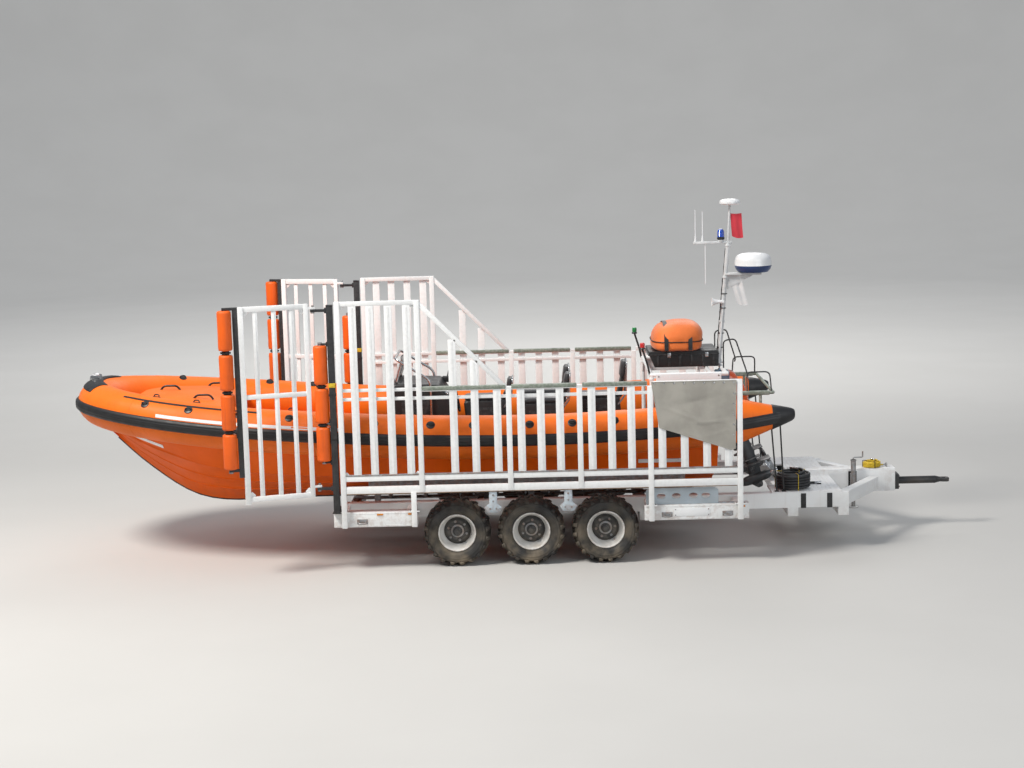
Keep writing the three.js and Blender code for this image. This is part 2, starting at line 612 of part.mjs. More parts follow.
function buildRunningGear() {
  AXLE_X.forEach((x, index) => {
    const pieces = [box(x - 50, x + 50, -1120, 1120, WHEEL_R - 50, WHEEL_R + 50)];
    for (const { side } of SIDES) {
      const seat = side * INNER_BEAM_Y;
      pieces.push(box(x - 80, x + 80, seat - 50, seat + 50, WHEEL_R + 40, BEAM_LOW));
      pieces.push(rod([x, side * 1100, WHEEL_R], [x, side * 1400, WHEEL_R], SPINDLE_R, 16));
    }
    place(`axle_${index + 1}`, join(pieces), 'grey');
    for (const { word, side } of SIDES) {
      const wheel = new THREE.Group();
      wheel.position.set(x, side * WHEEL_Y, WHEEL_R);
      wheel.rotation.z = side === PORT ? Math.PI : 0;
      whole.add(wheel);
      place(`tyre_${word}_${index + 1}`, tyre(), 'rubber', wheel);
      place(`rim_${word}_${index + 1}`, rim(), 'white', wheel);
    }
  });
}

// Wide balloon tyre with bar lugs; the open middle takes the rim.
function tyre() {
  const half = TYRE_WIDTH / 2;
  const rows = [[RIM_R, -half + 55], [WHEEL_R - 90, -half + 4], [WHEEL_R - 24, -half + 50],
    [WHEEL_R - 24, half - 50], [WHEEL_R - 90, half - 4], [RIM_R, half - 55], [RIM_R, -half + 55]];
  // One lug to each flat of the tread, to the left and right by turns; one is at the bottom.
  const flat = (2 * Math.PI) / WHEEL_SIDES;
  const lugs = Array.from({ length: WHEEL_SIDES }, (_, i) => lug(i % 2 ? 1 : -1, flat * (i + 0.5)));
  return join([turnedY(rows, WHEEL_SIDES), ...lugs]).rotateY(flat / 2);
}

// One bar lug, from the middle of the tread slanting out over the shoulder. turn is its angle
// from the wheel's lowest point.
function lug(hand, turn) {
  const top = WHEEL_R / Math.cos(LUG_HALF_ANGLE);
  // columns: distance from the middle of the tread, angle further round, foot radius, tip radius
  const sections = [[3, 0, 338, top], [158, 0.045, 322, top - 14]];
  return loft(sections.map(([y, lean, foot, tip]) => {
    const corners = [[-1, foot], [-1, tip], [1, tip], [1, foot]];
    return corners.map(([way, r]) => {
      const angle = turn + lean + way * LUG_HALF_ANGLE;
      return new THREE.Vector3(r * Math.sin(angle), hand * y, -r * Math.cos(angle));
    });
  }));
}

// Deep white wheel disc with its hub; +Y is outboard.
function rim() {
  const lip = TYRE_WIDTH / 2 - 48;
  const seat = RIM_R - GAP / Math.cos(Math.PI / WHEEL_SIDES);
  const hole = (SPINDLE_R + GAP) / Math.cos(Math.PI / WHEEL_SIDES);
  const rows = [[hole, -110], [HUB_R, -110], [seat - 16, -25], [seat - 16, -lip], [seat, -lip],
    [seat, lip], [seat - 16, lip], [seat - 16, -5], [HUB_R, -5], [HUB_R - 20, 80], [hole, 80], [hole, -110]];
  return turnedY(rows, WHEEL_SIDES).rotateY(Math.PI / WHEEL_SIDES);
}

// Cradle that carries the hull: keel rollers on a centre rail and a bunk under each side.
const BUNK_Y = 640;
const CRADLE_LOW = BEAM_LOW + 10;

function buildCradle() {
  const pieces = [box(-1950, 2180, -80, 80, CRADLE_LOW, CRADLE_LOW + 12)];
  for (const x of [-1500, -1070, -220, 620, 1250, 1800]) {
    const centre = keelZ(x) - 28;
    pieces.push(rod([x, -62, centre], [x, 62, centre], 27));
    for (const { side } of SIDES) {
      pieces.push(box(x - 14, x + 14, side * 50, side * 72, CRADLE_LOW + 5, centre + 10));
    }
  }
  for (const { side } of SIDES) {
    const y = side * BUNK_Y;
    pieces.push(box(-1700, 2000, y - 60, y + 60, 690, 900));
    pieces.push(box(-1950, 2180, y - 40, y + 40, CRADLE_LOW, CRADLE_LOW + 80));
    for (const x of [-1600, 200, 1900]) {
      pieces.push(box(x - 35, x + 35, y - 35, y + 35, CRADLE_LOW + 40, 760));
    }
  }
  for (const x of [-1900, -400, 850, 2120]) {
    pieces.push(box(x - 30, x + 30, -BUNK_Y, BUNK_Y, CRADLE_LOW, CRADLE_LOW + 11));
  }
  place('cradle', cut(join(pieces), hullCutter), 'grey');
}

// Slatted side cages. Slats run between the sill and the top rail, inside the posts' thickness.
function buildCage(word, side) {
  const inner = side * (CAGE_Y - CAGE_POST / 2);
  const outer = side * (CAGE_Y + CAGE_POST / 2);
  const slatHalf = 43;
  const bite = 3;
  const pieces = [];
  const rail = (x0, x1, z, tall) => box(x0, x1, inner + side * 8, outer - side * 8, z - tall / 2, z + tall / 2);
  // columns: post x, foot height, top height
  const posts = [
    [-1893, BEAM_LOW, CAGE_TALL_Z], [-1110, BEAM_LOW, CAGE_TUBE_Z], [-1013, CAGE_TUBE_Z - 40, CAGE_TALL_Z],
    [-21, CAGE_TUBE_Z - 40, CAGE_LOW_Z], [765, CAGE_TUBE_Z - 40, CAGE_LOW_Z], [1547, BEAM_LOW, CAGE_LOW_Z],
    [2540, BEAM_LOW, CAGE_LOW_Z],
  ];
  for (const [x, z0, z1] of posts) {
    pieces.push(box(x - CAGE_POST / 2, x + CAGE_POST / 2, inner, outer, z0, z1));
  }
  const slope = (CAGE_TALL_Z - CAGE_LOW_Z) / (CAGE_SLOPE_END_X + 1013);
  const slopeTop = (x) => CAGE_LOW_Z + (CAGE_SLOPE_END_X - x) * slope;
  // columns: left post, right post, slat places as parts of the bay, top of the slats
  const panels = [
    [-1893, -1013, [0.19, 0.41, 0.64, 0.87], CAGE_TALL_Z], [-1013, -21, [0.38, 0.62, 0.87], CAGE_LOW_Z],
    [-21, 765, [0.17, 0.45, 0.72], CAGE_LOW_Z], [765, 1547, [0.17, 0.45, 0.73], CAGE_LOW_Z],
    [1547, 2540, [0.13, 0.38, 0.63, 0.87], CAGE_LOW_Z],
  ];
  for (const [x0, x1, parts, top] of panels) {
    for (const part of parts) {
      const x = x0 + (x1 - x0) * part;
      const underSlope = x > -1013 && x < -300;
      const z1 = underSlope ? slopeTop(x + slatHalf) - 30 : top - 50;
      const [y0, y1] = [outer - side * 26, outer - side * 10];
      pieces.push(box(x - slatHalf, x + slatHalf, y0, y1, CAGE_SILL_Z + 27, z1 + bite));
    }
  }
  pieces.push(rail(-1893, -1013, CAGE_TALL_Z - 25, 50));
  pieces.push(rail(-1013, 2540, CAGE_LOW_Z - 25, 50));
  pieces.push(rail(-1893, 2540, CAGE_SILL_Z, 60));
  pieces.push(rail(-1893, 2540, CAGE_TUBE_Z, 80));
  for (const z of [1955, CAGE_LOW_Z - 25]) {
    const end = z === 1955 ? 1547 : -1013;
    pieces.push(box(-1893, end, inner + side * 2, outer - side * 30, z - 18, z + 18));
  }
  const slopeEnd = [CAGE_SLOPE_END_X, side * CAGE_Y, CAGE_LOW_Z - 25];
  pieces.push(bar([-1013, side * CAGE_Y, CAGE_TALL_Z - 25], slopeEnd, 40, 50));
  // Brackets between the tyres, hung from the lower tube.
  for (const x of [-225, 616]) {
    const shape = [[x - 45, CAGE_TUBE_Z], [x - 45, 740], [x - 100, 700], [x - 60, 640], [x + 60, 640],
      [x + 100, 700], [x + 45, 740], [x + 45, CAGE_TUBE_Z]];
    pieces.push(prismY(shape, inner + side * 20, outer - side * 20));
  }
  place(`side_cage_${word}`, join(pieces), 'white');
}

// Fixed post beside the cage: holds the guide roller and the wing gate's hinge pins.
const GATE_POST_X = -1975;
const GUIDE_X = -2096;
const GUIDE_R = 78;
const GUIDE_SPINDLE_R = 22;
const GUIDE_SIDES = 12;

function buildGatePost(word, side) {
  const y = side * CAGE_Y;
  const pieces = [box(GATE_POST_X - 35, GATE_POST_X + 35, y - 35, y + 35, BEAM_TOP, 3010)];
  pieces.push(box(GATE_POST_X - 35, GATE_POST_X + 35, side * 1470, y + 35 * side, BEAM_TOP, BEAM_TOP + 60));
  for (const z of HINGE_Z) {
    pieces.push(box(HINGE_X - 25, GATE_POST_X, y - 25, y + 25, z - 15, z + 15));
    pieces.push(rod([HINGE_X, y, z], [HINGE_X, y, z + 60], HINGE_PIN_R));
  }
  for (const z of [1255, 2585]) {
    pieces.push(box(GUIDE_X - 20, GATE_POST_X, y - 20, y + 20, z - 10, z + 10));
  }
  pieces.push(rod([GUIDE_X, y, 1255], [GUIDE_X, y, 2585], GUIDE_SPINDLE_R));
  place(`gate_post_${word}`, join(pieces), 'black');
  place(`guide_roller_${word}`, sleeves(1270, 2570, 3).translate(GUIDE_X, y, 0), 'foam');
}

// Foam sleeves threaded on one core tube, between two heights.
function sleeves(z0, z1, count) {
  const hole = (GUIDE_SPINDLE_R + GAP) / Math.cos(Math.PI / GUIDE_SIDES);
  const pitch = (z1 - z0) / count;
  const rows = [[hole, z0], [GUIDE_R, z0]];
  for (let i = 0; i < count; i += 1) {
    const top = z0 + pitch * (i + 1);
    if (i + 1 < count) {
      rows.push([GUIDE_R, top - 45], [38, top - 45], [38, top], [GUIDE_R, top]);
    } else {
      rows.push([GUIDE_R, top], [hole, top], [hole, z0]);
    }
  }
  return turnedZ(rows, GUIDE_SIDES);
}

// Wing gate, drawn along -X from its hinge pin, then swung out.
function buildGate(word, side) {
  const gate = new THREE.Group();
  gate.position.set(HINGE_X, side * CAGE_Y, 0);
  gate.rotation.z = -side * rad(GATE_ANGLE);
  whole.add(gate);
  const far = -GATE_LENGTH;
  const pieces = [
    box(-105, -55, -25, 25, GATE_LOW_Z - 30, GATE_TOP_Z),
    box(far, far + 60, -30, 30, GATE_LOW_Z - 60, GATE_TOP_Z),
    box(far, -60, -20, 20, GATE_TOP_Z - 60, GATE_TOP_Z),
    box(far, -60, -20, 20, 2015, 2065),
    box(far, -60, -20, 20, GATE_LOW_Z - 30, GATE_LOW_Z + 25),
  ];
  for (const x of [-240, -435, -640]) {
    pieces.push(box(x - 26, x + 26, -15, 3, GATE_LOW_Z + 22, 2018));
    pieces.push(box(x - 26, x + 26, -15, 3, 2062, GATE_TOP_Z - 57));
  }
  for (const z of HINGE_Z) {
    pieces.push(box(-80, 24, -24, 24, z + 15 + GAP, z + 40));
  }
  const bores = HINGE_Z.map((z) => bore([0, 0, z - 100], [0, 0, z + 200], HINGE_PIN_R));
  const rollerX = far - 145;
  for (const z of [1235, 3025]) {
    pieces.push(box(rollerX - 22, far + 10, -22, 22, z - 15, z + 15));
  }
  pieces.push(box(far - 55, far + 5, -20, 20, 1150, GATE_TOP_Z));
  pieces.push(rod([rollerX, 0, 1235], [rollerX, 0, 3025], GUIDE_SPINDLE_R));
  place(`wing_gate_${word}`, cut(join(pieces), ...bores), 'white', gate);
  place(`gate_roller_${word}`, sleeves(1251, 3009, 4).translate(rollerX, 0, 0), 'foam', gate);
}

function buildScreenAndCoils() {
  const y = PORT * (CAGE_Y + CAGE_POST / 2 + GAP);
  const screen = [[1562, 2072], [2500, 2072], [2485, 1307], [2440, 1295], [1650, 1560], [1594, 1620]];
  place('canvas_screen', prismY(screen, y, y - 8), 'cloth');
  const z = FRONT_DECK_TOP + GAP;
  const hoseCoil = turnedZ([[113, 0], [205, 0], [205, 158], [113, 158], [113, 0]], 20);
  place('hose_coil', hoseCoil.translate(3230, -852, z), 'black');
  const strapCoil = turnedZ([[63, 0], [107, 0], [107, 60], [63, 60], [63, 0]], 16);
  place('strap_coil', strapCoil.translate(4300, 0, 745 + GAP), 'black');
}

buildBoatBody();
buildForedeckCover();
buildCockpit();
buildGantry();
buildMast();
buildSternGuard();
buildChassis();
buildRunningGear();
buildCradle();
buildScreenAndCoils();
for (const { word, side } of SIDES) {
  buildOutboard(word, side);
  buildCage(word, side);
  buildGatePost(word, side);
  buildGate(word, side);
}

export default whole;
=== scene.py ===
"""Finished surfaces of an inshore rescue boat on its launching carriage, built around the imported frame."""

from math import atan2, cos, exp, hypot, pi, radians, sin, sqrt

import bpy
from bpy.props import FloatProperty, FloatVectorProperty, IntProperty, PointerProperty
from mathutils import Matrix, Vector


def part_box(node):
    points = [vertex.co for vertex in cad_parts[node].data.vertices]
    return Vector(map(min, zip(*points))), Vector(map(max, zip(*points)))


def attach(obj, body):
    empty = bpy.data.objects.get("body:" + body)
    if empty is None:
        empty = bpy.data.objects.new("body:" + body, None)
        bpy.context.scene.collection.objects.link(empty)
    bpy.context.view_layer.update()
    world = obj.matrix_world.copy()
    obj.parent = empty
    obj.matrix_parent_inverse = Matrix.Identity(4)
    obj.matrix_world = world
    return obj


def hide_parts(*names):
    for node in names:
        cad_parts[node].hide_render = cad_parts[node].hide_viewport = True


bl_info = {
    "name": "Rescue boat on launching carriage",
    "version": (1, 0, 0),
    "blender": (4, 5, 0),
    "location": "3D View > Sidebar > Rescue Boat",
    "description": "Builds the finished surfaces of the boat and its carriage around the packed frame",
    "category": "Object",
}

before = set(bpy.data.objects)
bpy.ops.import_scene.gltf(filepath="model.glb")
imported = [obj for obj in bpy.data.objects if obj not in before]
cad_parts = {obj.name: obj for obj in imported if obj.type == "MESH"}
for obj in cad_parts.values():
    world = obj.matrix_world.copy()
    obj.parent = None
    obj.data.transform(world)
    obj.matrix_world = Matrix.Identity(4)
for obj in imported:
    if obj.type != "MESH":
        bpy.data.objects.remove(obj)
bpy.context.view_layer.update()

ROOT = "boat_and_carriage"
MIRROR = Matrix.Scale(-1, 4, (0, 1, 0))

# Boat, in metres
TUBE_R = 0.25
TUBE_Y = 1.147
NOSE_X = -4.946
BEND_X = -2.67
CONE_X = 2.6
CONE_END_X = 3.216
CONE_TIP_R = 0.055
SHEER_LOW_X = 0.1
SHEER_LOW_Z = 1.415
SHEER_BOW_RISE = 0.375
SHEER_STERN_RISE = 0.12
STRAKE_END_X = 3.04
TRANSOM_X = 2.35
SOLE_TOP = 1.315
STRAIGHT_X = -1.9
GANTRY_POSTS_X = (1.62, 2.3)
GANTRY_Y = 0.8
GANTRY_TOP = 2.035
GANTRY_TUBE_R = 0.024

# Carriage, in metres
AXLES_X = (-0.646, 0.195, 1.036)
WHEEL_R = 0.38
WHEEL_Y = 1.32
RIM_R = 0.215
BEAM_LOW = 0.5
BEAM_TOP = 0.67
BEAM_FACE_Y = -1.57
DECK_TOP = 0.688
HOSE_PLACE = (3.23, -0.852)
JACK_PLACE = (4.05, -0.175)
CAGE_Y = 1.6
CAGE_HALF = 0.03
CAGE_TALL_Z = 3.05
CAGE_LOW_Z = 2.08
CAGE_SILL_Z = 1.06
CAGE_TUBE_Z = 0.93
CAGE_POSTS_X = (-1.893, -1.013, -0.021, 0.765, 1.547, 2.54)
CAGE_FEET_X = (CAGE_POSTS_X[0], -1.11, *CAGE_POSTS_X[4:])
CAGE_BRACKETS_X = (-0.225, 0.616)
GATE_ANGLE = radians(16)
HINGE = Vector((-2.16, -CAGE_Y, 0))
HINGE_HEIGHTS = (0.96, 2.96)
POST_X = -1.975
GUIDE_X = -2.096

# Outboards, in metres, drawn with the leg upright and the tilt pivot at the origin
PIVOT = Vector((2.46, -0.38, 1.36))
REST_TILT = radians(20)
PROP_X = 0.34
PROP_Z = -0.74
STEER_X = 0.06


# Selecting and placing

def clear_selection():
    if bpy.context.object and bpy.context.object.mode != "OBJECT":
        bpy.ops.object.mode_set(mode="OBJECT")
    bpy.ops.object.select_all(action="DESELECT")


def only(obj):
    """Makes obj the one selected and active object."""
    clear_selection()
    obj.select_set(True)
    bpy.context.view_layer.objects.active = obj
    return obj


def added(name, data):
    """New object with that data, in the scene."""
    obj = bpy.data.objects.new(name, data)
    bpy.context.scene.collection.objects.link(obj)
    return obj


def discard(*masters):
    """Removes objects that were only there to be copied."""
    for master in masters:
        bpy.data.objects.remove(master)


def edit(obj):
    """Opens obj in edit mode with everything selected."""
    only(obj)
    bpy.ops.object.mode_set(mode="EDIT")
    bpy.ops.mesh.select_all(action="SELECT")


def named(obj, name):
    """Applies the object's place to its mesh and names both."""
    only(obj)
    bpy.ops.object.transform_apply(location=True, rotation=True, scale=True)
    obj.name = name
    obj.data.name = name
    return obj


def close_up(obj, caps):
    """Welds the seams of obj, fills its open ends and points its faces outwards."""
    edit(obj)
    bpy.ops.mesh.remove_doubles(threshold=0.0001)
    bpy.ops.mesh.delete_loose()
    if caps:
        bpy.ops.mesh.select_all(action="SELECT")
        bpy.ops.mesh.fill_holes(sides=0)
    bpy.ops.mesh.select_all(action="SELECT")
    bpy.ops.mesh.normals_make_consistent(inside=False)
    bpy.ops.object.mode_set(mode="OBJECT")
    return obj


def modified(obj, kind, **settings):
    """Adds a modifier of that kind to obj and applies it."""
    only(obj)
    modifier = obj.modifiers.new(kind.lower(), kind)
    for key, value in settings.items():
        setattr(modifier, key, value)
    bpy.ops.object.modifier_apply(modifier=modifier.name)
    return obj


def rounded(obj, width, segments=2, angle=35):
    """Rounds the sharp edges of obj."""
    return modified(obj, "BEVEL", width=width, segments=segments, limit_method="ANGLE",
                    angle_limit=radians(angle), harden_normals=False)


def smoothed(obj, angle=35):
    """Shades obj smooth, with sharp edges over that angle."""
    only(obj)
    bpy.ops.object.shade_smooth_by_angle(angle=radians(angle))
    return obj


def subdivided(obj):
    """Divides the faces of obj once, and smooths it."""
    modified(obj, "SUBSURF", levels=1, render_levels=1)
    return smoothed(obj, 60)


def thickened(obj, thickness):
    """Gives an open sheet its thickness, half to each side."""
    return modified(obj, "SOLIDIFY", thickness=thickness, offset=0)


def painted(obj, look):
    """Gives all of obj the finish of that key."""
    obj.data.materials.clear()
    obj.data.materials.append(finishes(look))
    return obj


def joined(name, *objs):
    """Joins finished meshes, each with its own material, into one piece."""
    only(objs[0])
    for obj in objs[1:]:
        obj.select_set(True)
    bpy.ops.object.join()
    objs[0].name = name
    objs[0].data.name = name
    return objs[0]


def copied(obj, name, matrix):
    """Copy of obj with its own mesh, moved by matrix; a mirrored copy is turned right side out."""
    copy = added(name, obj.data.copy())
    copy.data.name = name
    copy.data.transform(matrix)
    if matrix.determinant() < 0:
        edit(copy)
        bpy.ops.mesh.flip_normals()
        bpy.ops.object.mode_set(mode="OBJECT")
    return copy


def moved(obj, matrix):
    """Moves the mesh of obj, which stays at the origin."""
    obj.data.transform(matrix)
    obj.data.update()
    return obj


def put(obj, slot, *replaced, body=ROOT):
    """Makes a finished piece ride on its body and stand for the CAD nodes that it replaces."""
    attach(obj, body)
    if replaced:
        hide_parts(*replaced)
    return obj


def on_both_sides(obj, stem, slot, *nodes, body=ROOT):
    """Puts a port piece in place and its mirrored copy to starboard; {side} in a name is filled in."""
    twin = copied(obj, f"{stem}_starboard", MIRROR)
    obj.name = f"{stem}_port"
    for piece, side in ((obj, "port"), (twin, "starboard")):
        put(piece, slot, *[node.format(side=side) for node in nodes], body=body.format(side=side))
    return obj, twin


# Shapes started from a primitive

def surface(name, along, around, point, caps=True):
    """Grid whose points are moved onto point(u, w), with u and w from 0 to 1, then closed."""
    clear_selection()
    bpy.ops.mesh.primitive_grid_add(x_subdivisions=along, y_subdivisions=around, size=2)
    obj = bpy.context.object
    for vertex in obj.data.vertices:
        vertex.co = point((vertex.co.x + 1) / 2, (vertex.co.y + 1) / 2)
    obj.name = name
    return close_up(obj, caps)


def turned(name, profile, matrix, steps=48, angle=35):
    """Closed profile of (radius, height) pairs spun round its axis and set in place by matrix."""
    clear_selection()
    bpy.ops.mesh.primitive_circle_add(vertices=len(profile), radius=1)
    obj = bpy.context.object
    for vertex, (radius, height) in zip(obj.data.vertices, profile):
        vertex.co = (radius, 0, height)
    edit(obj)
    bpy.ops.mesh.spin(steps=steps, angle=2 * pi, center=(0, 0, 0), axis=(0, 0, 1))
    bpy.ops.object.mode_set(mode="OBJECT")
    close_up(obj, caps=False)
    moved(obj, matrix)
    obj.name = name
    return smoothed(obj, angle)


def upright(x, y, z):
    """Place of a turned piece whose axis stands up."""
    return Matrix.Translation((x, y, z))


def pitched(x, y, z, degrees):
    """Place turned about Y."""
    return Matrix.Translation((x, y, z)) @ Matrix.Rotation(radians(degrees), 4, "Y")


def along_y(x, y, z):
    """Axis of a wheel: the profile's height runs along -Y, outboard on the port side."""
    return Matrix.Translation((x, y, z)) @ Matrix.Rotation(radians(90), 4, "X")


def both_halves(half):
    """Outline made of one half and its mirror image across the first axis."""
    return half + [(a, -b) for a, b in reversed(half)]


def plate(name, outline, low, high, width, segments=2, axis="Y"):
    """Flat outline extruded along an axis, with its edges rounded by width."""
    clear_selection()
    bpy.ops.mesh.primitive_circle_add(vertices=len(outline), radius=1, fill_type="NGON")
    obj = bpy.context.object
    across = "XYZ".index(axis)
    for vertex, pair in zip(obj.data.vertices, outline):
        spot = list(pair)
        spot.insert(across, low)
        vertex.co = spot
    edit(obj)
    step = [0.0, 0.0, 0.0]
    step[across] = high - low
    bpy.ops.mesh.extrude_region_move(TRANSFORM_OT_translate={"value": step})
    bpy.ops.mesh.select_all(action="SELECT")
    bpy.ops.mesh.normals_make_consistent(inside=False)
    bpy.ops.object.mode_set(mode="OBJECT")
    obj.name = name
    if width:
        rounded(obj, width, segments)
    return smoothed(obj)


def drawn(curve, points):
    """Adds a line through the points to the curve."""
    spline = curve.splines.new("POLY")
    spline.points.add(len(points) - 1)
    for point, place in zip(spline.points, points):
        point.co = (*place, 1)
    return spline


def mesh_of(curve):
    only(added(curve.name, curve))
    bpy.ops.object.convert(target="MESH")
    return bpy.context.object


def pierced_plate(name, outline, holes, low, high):
    """Plate in the XZ plane with real holes through it, from a flat curve made a mesh."""
    width = 0.001
    curve = bpy.data.curves.new(name, "CURVE")
    curve.dimensions = "2D"
    curve.fill_mode = "BOTH"
    curve.extrude = (high - low) / 2 - width
    curve.bevel_depth = width
    for loop in [outline, *holes]:
        drawn(curve, [(x, z, 0) for x, z in loop]).use_cyclic_u = True
    obj = mesh_of(curve)
    moved(obj, Matrix.Translation((0, (low + high) / 2, 0)) @ Matrix.Rotation(radians(90), 4, "X"))
    close_up(obj, caps=False)
    return smoothed(named(obj, name))


def oval(x, z, half_x, half_z):
    """Outline of an oval hole."""
    turns = [2 * pi * i / 20 for i in range(20)]
    return [(x + half_x * cos(turn), z + half_z * sin(turn)) for turn in turns]


def bars(name, boxes, width=0.003, segments=2, turns=()):
    """Square bars and blocks in one piece. boxes holds (low corner, high corner); turns holds
    (middle, sizes, angle about Y) for slanted ones."""
    clear_selection()
    items = [((Vector(a) + Vector(b)) / 2, [abs(q - p) for p, q in zip(a, b)], (0, 0, 0)) for a, b in boxes]
    items += [(Vector(middle), sizes, turn) for middle, sizes, turn in turns]
    bpy.ops.mesh.primitive_cube_add(size=1, location=items[0][0], rotation=items[0][2], scale=items[0][1])
    obj = named(bpy.context.object, name)
    if len(items) > 1:
        edit(obj)
        for middle, sizes, turn in items[1:]:
            bpy.ops.mesh.primitive_cube_add(size=1, location=middle, rotation=turn, scale=sizes)
        bpy.ops.object.mode_set(mode="OBJECT")
    if width:
        rounded(obj, width, segments)
    return smoothed(obj)


def rods(name, items, sides=20, width=0.0):
    """Round bars in one piece: items holds (start, end, radius) or (start, end, radius, end radius)."""
    clear_selection()
    obj = None
    for start, end, radius, *last in items:
        a, b = Vector(start), Vector(end)
        turn = (b - a).to_track_quat("Z", "Y").to_euler()
        bpy.ops.mesh.primitive_cone_add(vertices=sides, radius1=radius, radius2=last[0] if last else radius,
                                        depth=(b - a).length, location=(a + b) / 2, rotation=turn)
        if obj is None:
            obj = named(bpy.context.object, name)
            only(obj)
            bpy.ops.object.mode_set(mode="EDIT")
    bpy.ops.object.mode_set(mode="OBJECT")
    if width:
        rounded(obj, width, 2)
    return smoothed(obj)


def bent(points, radius, steps=6):
    """Points of a path with its corners rounded to that radius."""
    path = [Vector(points[0])]
    for before, corner, after in zip(points, points[1:], points[2:]):
        corner = Vector(corner)
        back = (Vector(before) - corner).normalized()
        on = (Vector(after) - corner).normalized()
        for i in range(steps + 1):
            t = i / steps
            path.append(corner + back * radius * (1 - t) ** 2 + on * radius * t ** 2)
    return path + [Vector(points[-1])]


def pipe(name, path, radius, resolution):
    """Round pipe along a path, with closed ends, made a mesh."""
    curve = bpy.data.curves.new(name, "CURVE")
    curve.dimensions = "3D"
    curve.bevel_depth = radius
    curve.bevel_resolution = resolution
    curve.use_fill_caps = True
    drawn(curve, path)
    obj = close_up(mesh_of(curve), caps=False)
    return smoothed(named(obj, name), 40)


# Shader node groups

def node_group(name, inputs, outputs, build):
    """Shader group with float sockets; build(nodes, link, source, result) fills it."""
    if name in bpy.data.node_groups:
        return bpy.data.node_groups[name]
    group = bpy.data.node_groups.new(name, "ShaderNodeTree")
    for label, value in inputs:
        socket = group.interface.new_socket(label, in_out="INPUT", socket_type="NodeSocketFloat")
        socket.default_value = value
    for label in outputs:
        group.interface.new_socket(label, in_out="OUTPUT", socket_type="NodeSocketFloat")
    build(group.nodes, group.links.new, group.nodes.new("NodeGroupInput"), group.nodes.new("NodeGroupOutput"))
    return group


def math_node(nodes, link, operation, a, b=None):
    """Math node on two sockets or numbers; gives its output."""
    node = nodes.new("ShaderNodeMath")
    node.operation = operation
    for socket, value in zip(node.inputs, (a, b)):
        if value is None:
            continue
        if isinstance(value, (int, float)):
            socket.default_value = value
        else:
            link(value, socket)
    return node.outputs[0]


def ramped(nodes, link, value, low, high):
    """Value mapped from low..high to 0..1 and held there."""
    node = nodes.new("ShaderNodeMapRange")
    node.interpolation_type = "SMOOTHSTEP"
    link(value, node.inputs["Value"])
    for label, end in (("From Min", low), ("From Max", high)):
        if isinstance(end, (int, float)):
            node.inputs[label].default_value = end
        else:
            link(end, node.inputs[label])
    return node.outputs["Result"]


def noise(nodes, link, scale, detail=4.0, stretch=None):
    """Noise on the object's own coordinates; scale is a number or a socket."""
    where = nodes.new("ShaderNodeTexCoord").outputs["Object"]
    if stretch:
        mapping = nodes.new("ShaderNodeMapping")
        mapping.inputs["Scale"].default_value = stretch
        link(where, mapping.inputs["Vector"])
        where = mapping.outputs["Vector"]
    node = nodes.new("ShaderNodeTexNoise")
    link(where, node.inputs["Vector"])
    node.inputs["Detail"].default_value = detail
    if isinstance(scale, (int, float)):
        node.inputs["Scale"].default_value = scale
    else:
        link(scale, node.inputs["Scale"])
    return node.outputs["Fac"]


def tone_group():
    """Slow variation of colour and gloss, and a fine height for the bump."""
    def build(nodes, link, source, result):
        slow = noise(nodes, link, source.outputs["Scale"], 5.0)
        link(ramped(nodes, link, slow, 0.3, 0.7), result.inputs["Tone"])
        fine = noise(nodes, link, math_node(nodes, link, "MULTIPLY", source.outputs["Scale"], 40.0), 3.0)
        link(fine, result.inputs["Height"])
    return node_group("Uneven tone", [("Scale", 3.0)], ["Tone", "Height"], build)


def wear_group():
    """Rubbed edges: convex places broken up by noise."""
    def build(nodes, link, source, result):
        point = nodes.new("ShaderNodeNewGeometry").outputs["Pointiness"]
        edge = ramped(nodes, link, point, 0.515, 0.6)
        broken = ramped(nodes, link, noise(nodes, link, source.outputs["Scale"], 6.0), 0.42, 0.62)
        mask = math_node(nodes, link, "MULTIPLY", edge, broken)
        link(math_node(nodes, link, "MULTIPLY", mask, source.outputs["Amount"]), result.inputs["Mask"])
    return node_group("Rubbed edges", [("Scale", 30.0), ("Amount", 0.8)], ["Mask"], build)


def splash_group():
    """Dried mud and salt, thick at Low and gone above High."""
    def build(nodes, link, source, result):
        axes = nodes.new("ShaderNodeSeparateXYZ")
        link(nodes.new("ShaderNodeTexCoord").outputs["Object"], axes.inputs[0])
        level = ramped(nodes, link, axes.outputs["Z"], source.outputs["High"], source.outputs["Low"])
        patch = ramped(nodes, link, noise(nodes, link, source.outputs["Scale"], 8.0), 0.35, 0.7)
        mask = math_node(nodes, link, "MULTIPLY", level, patch)
        link(math_node(nodes, link, "MULTIPLY", mask, source.outputs["Amount"]), result.inputs["Mask"])
    return node_group("Dried splash", [("Low", 0.0), ("High", 1.0), ("Scale", 9.0), ("Amount", 0.6)],
                      ["Mask"], build)


def streak_group():
    """Thin runs of dirt down upright faces."""
    def build(nodes, link, source, result):
        runs = noise(nodes, link, 1.0, 6.0, (22.0, 22.0, 1.6))
        mask = ramped(nodes, link, runs, 0.55, 0.75)
        link(math_node(nodes, link, "MULTIPLY", mask, source.outputs["Amount"]), result.inputs["Mask"])
    return node_group("Dirt runs", [("Amount", 0.4)], ["Mask"], build)


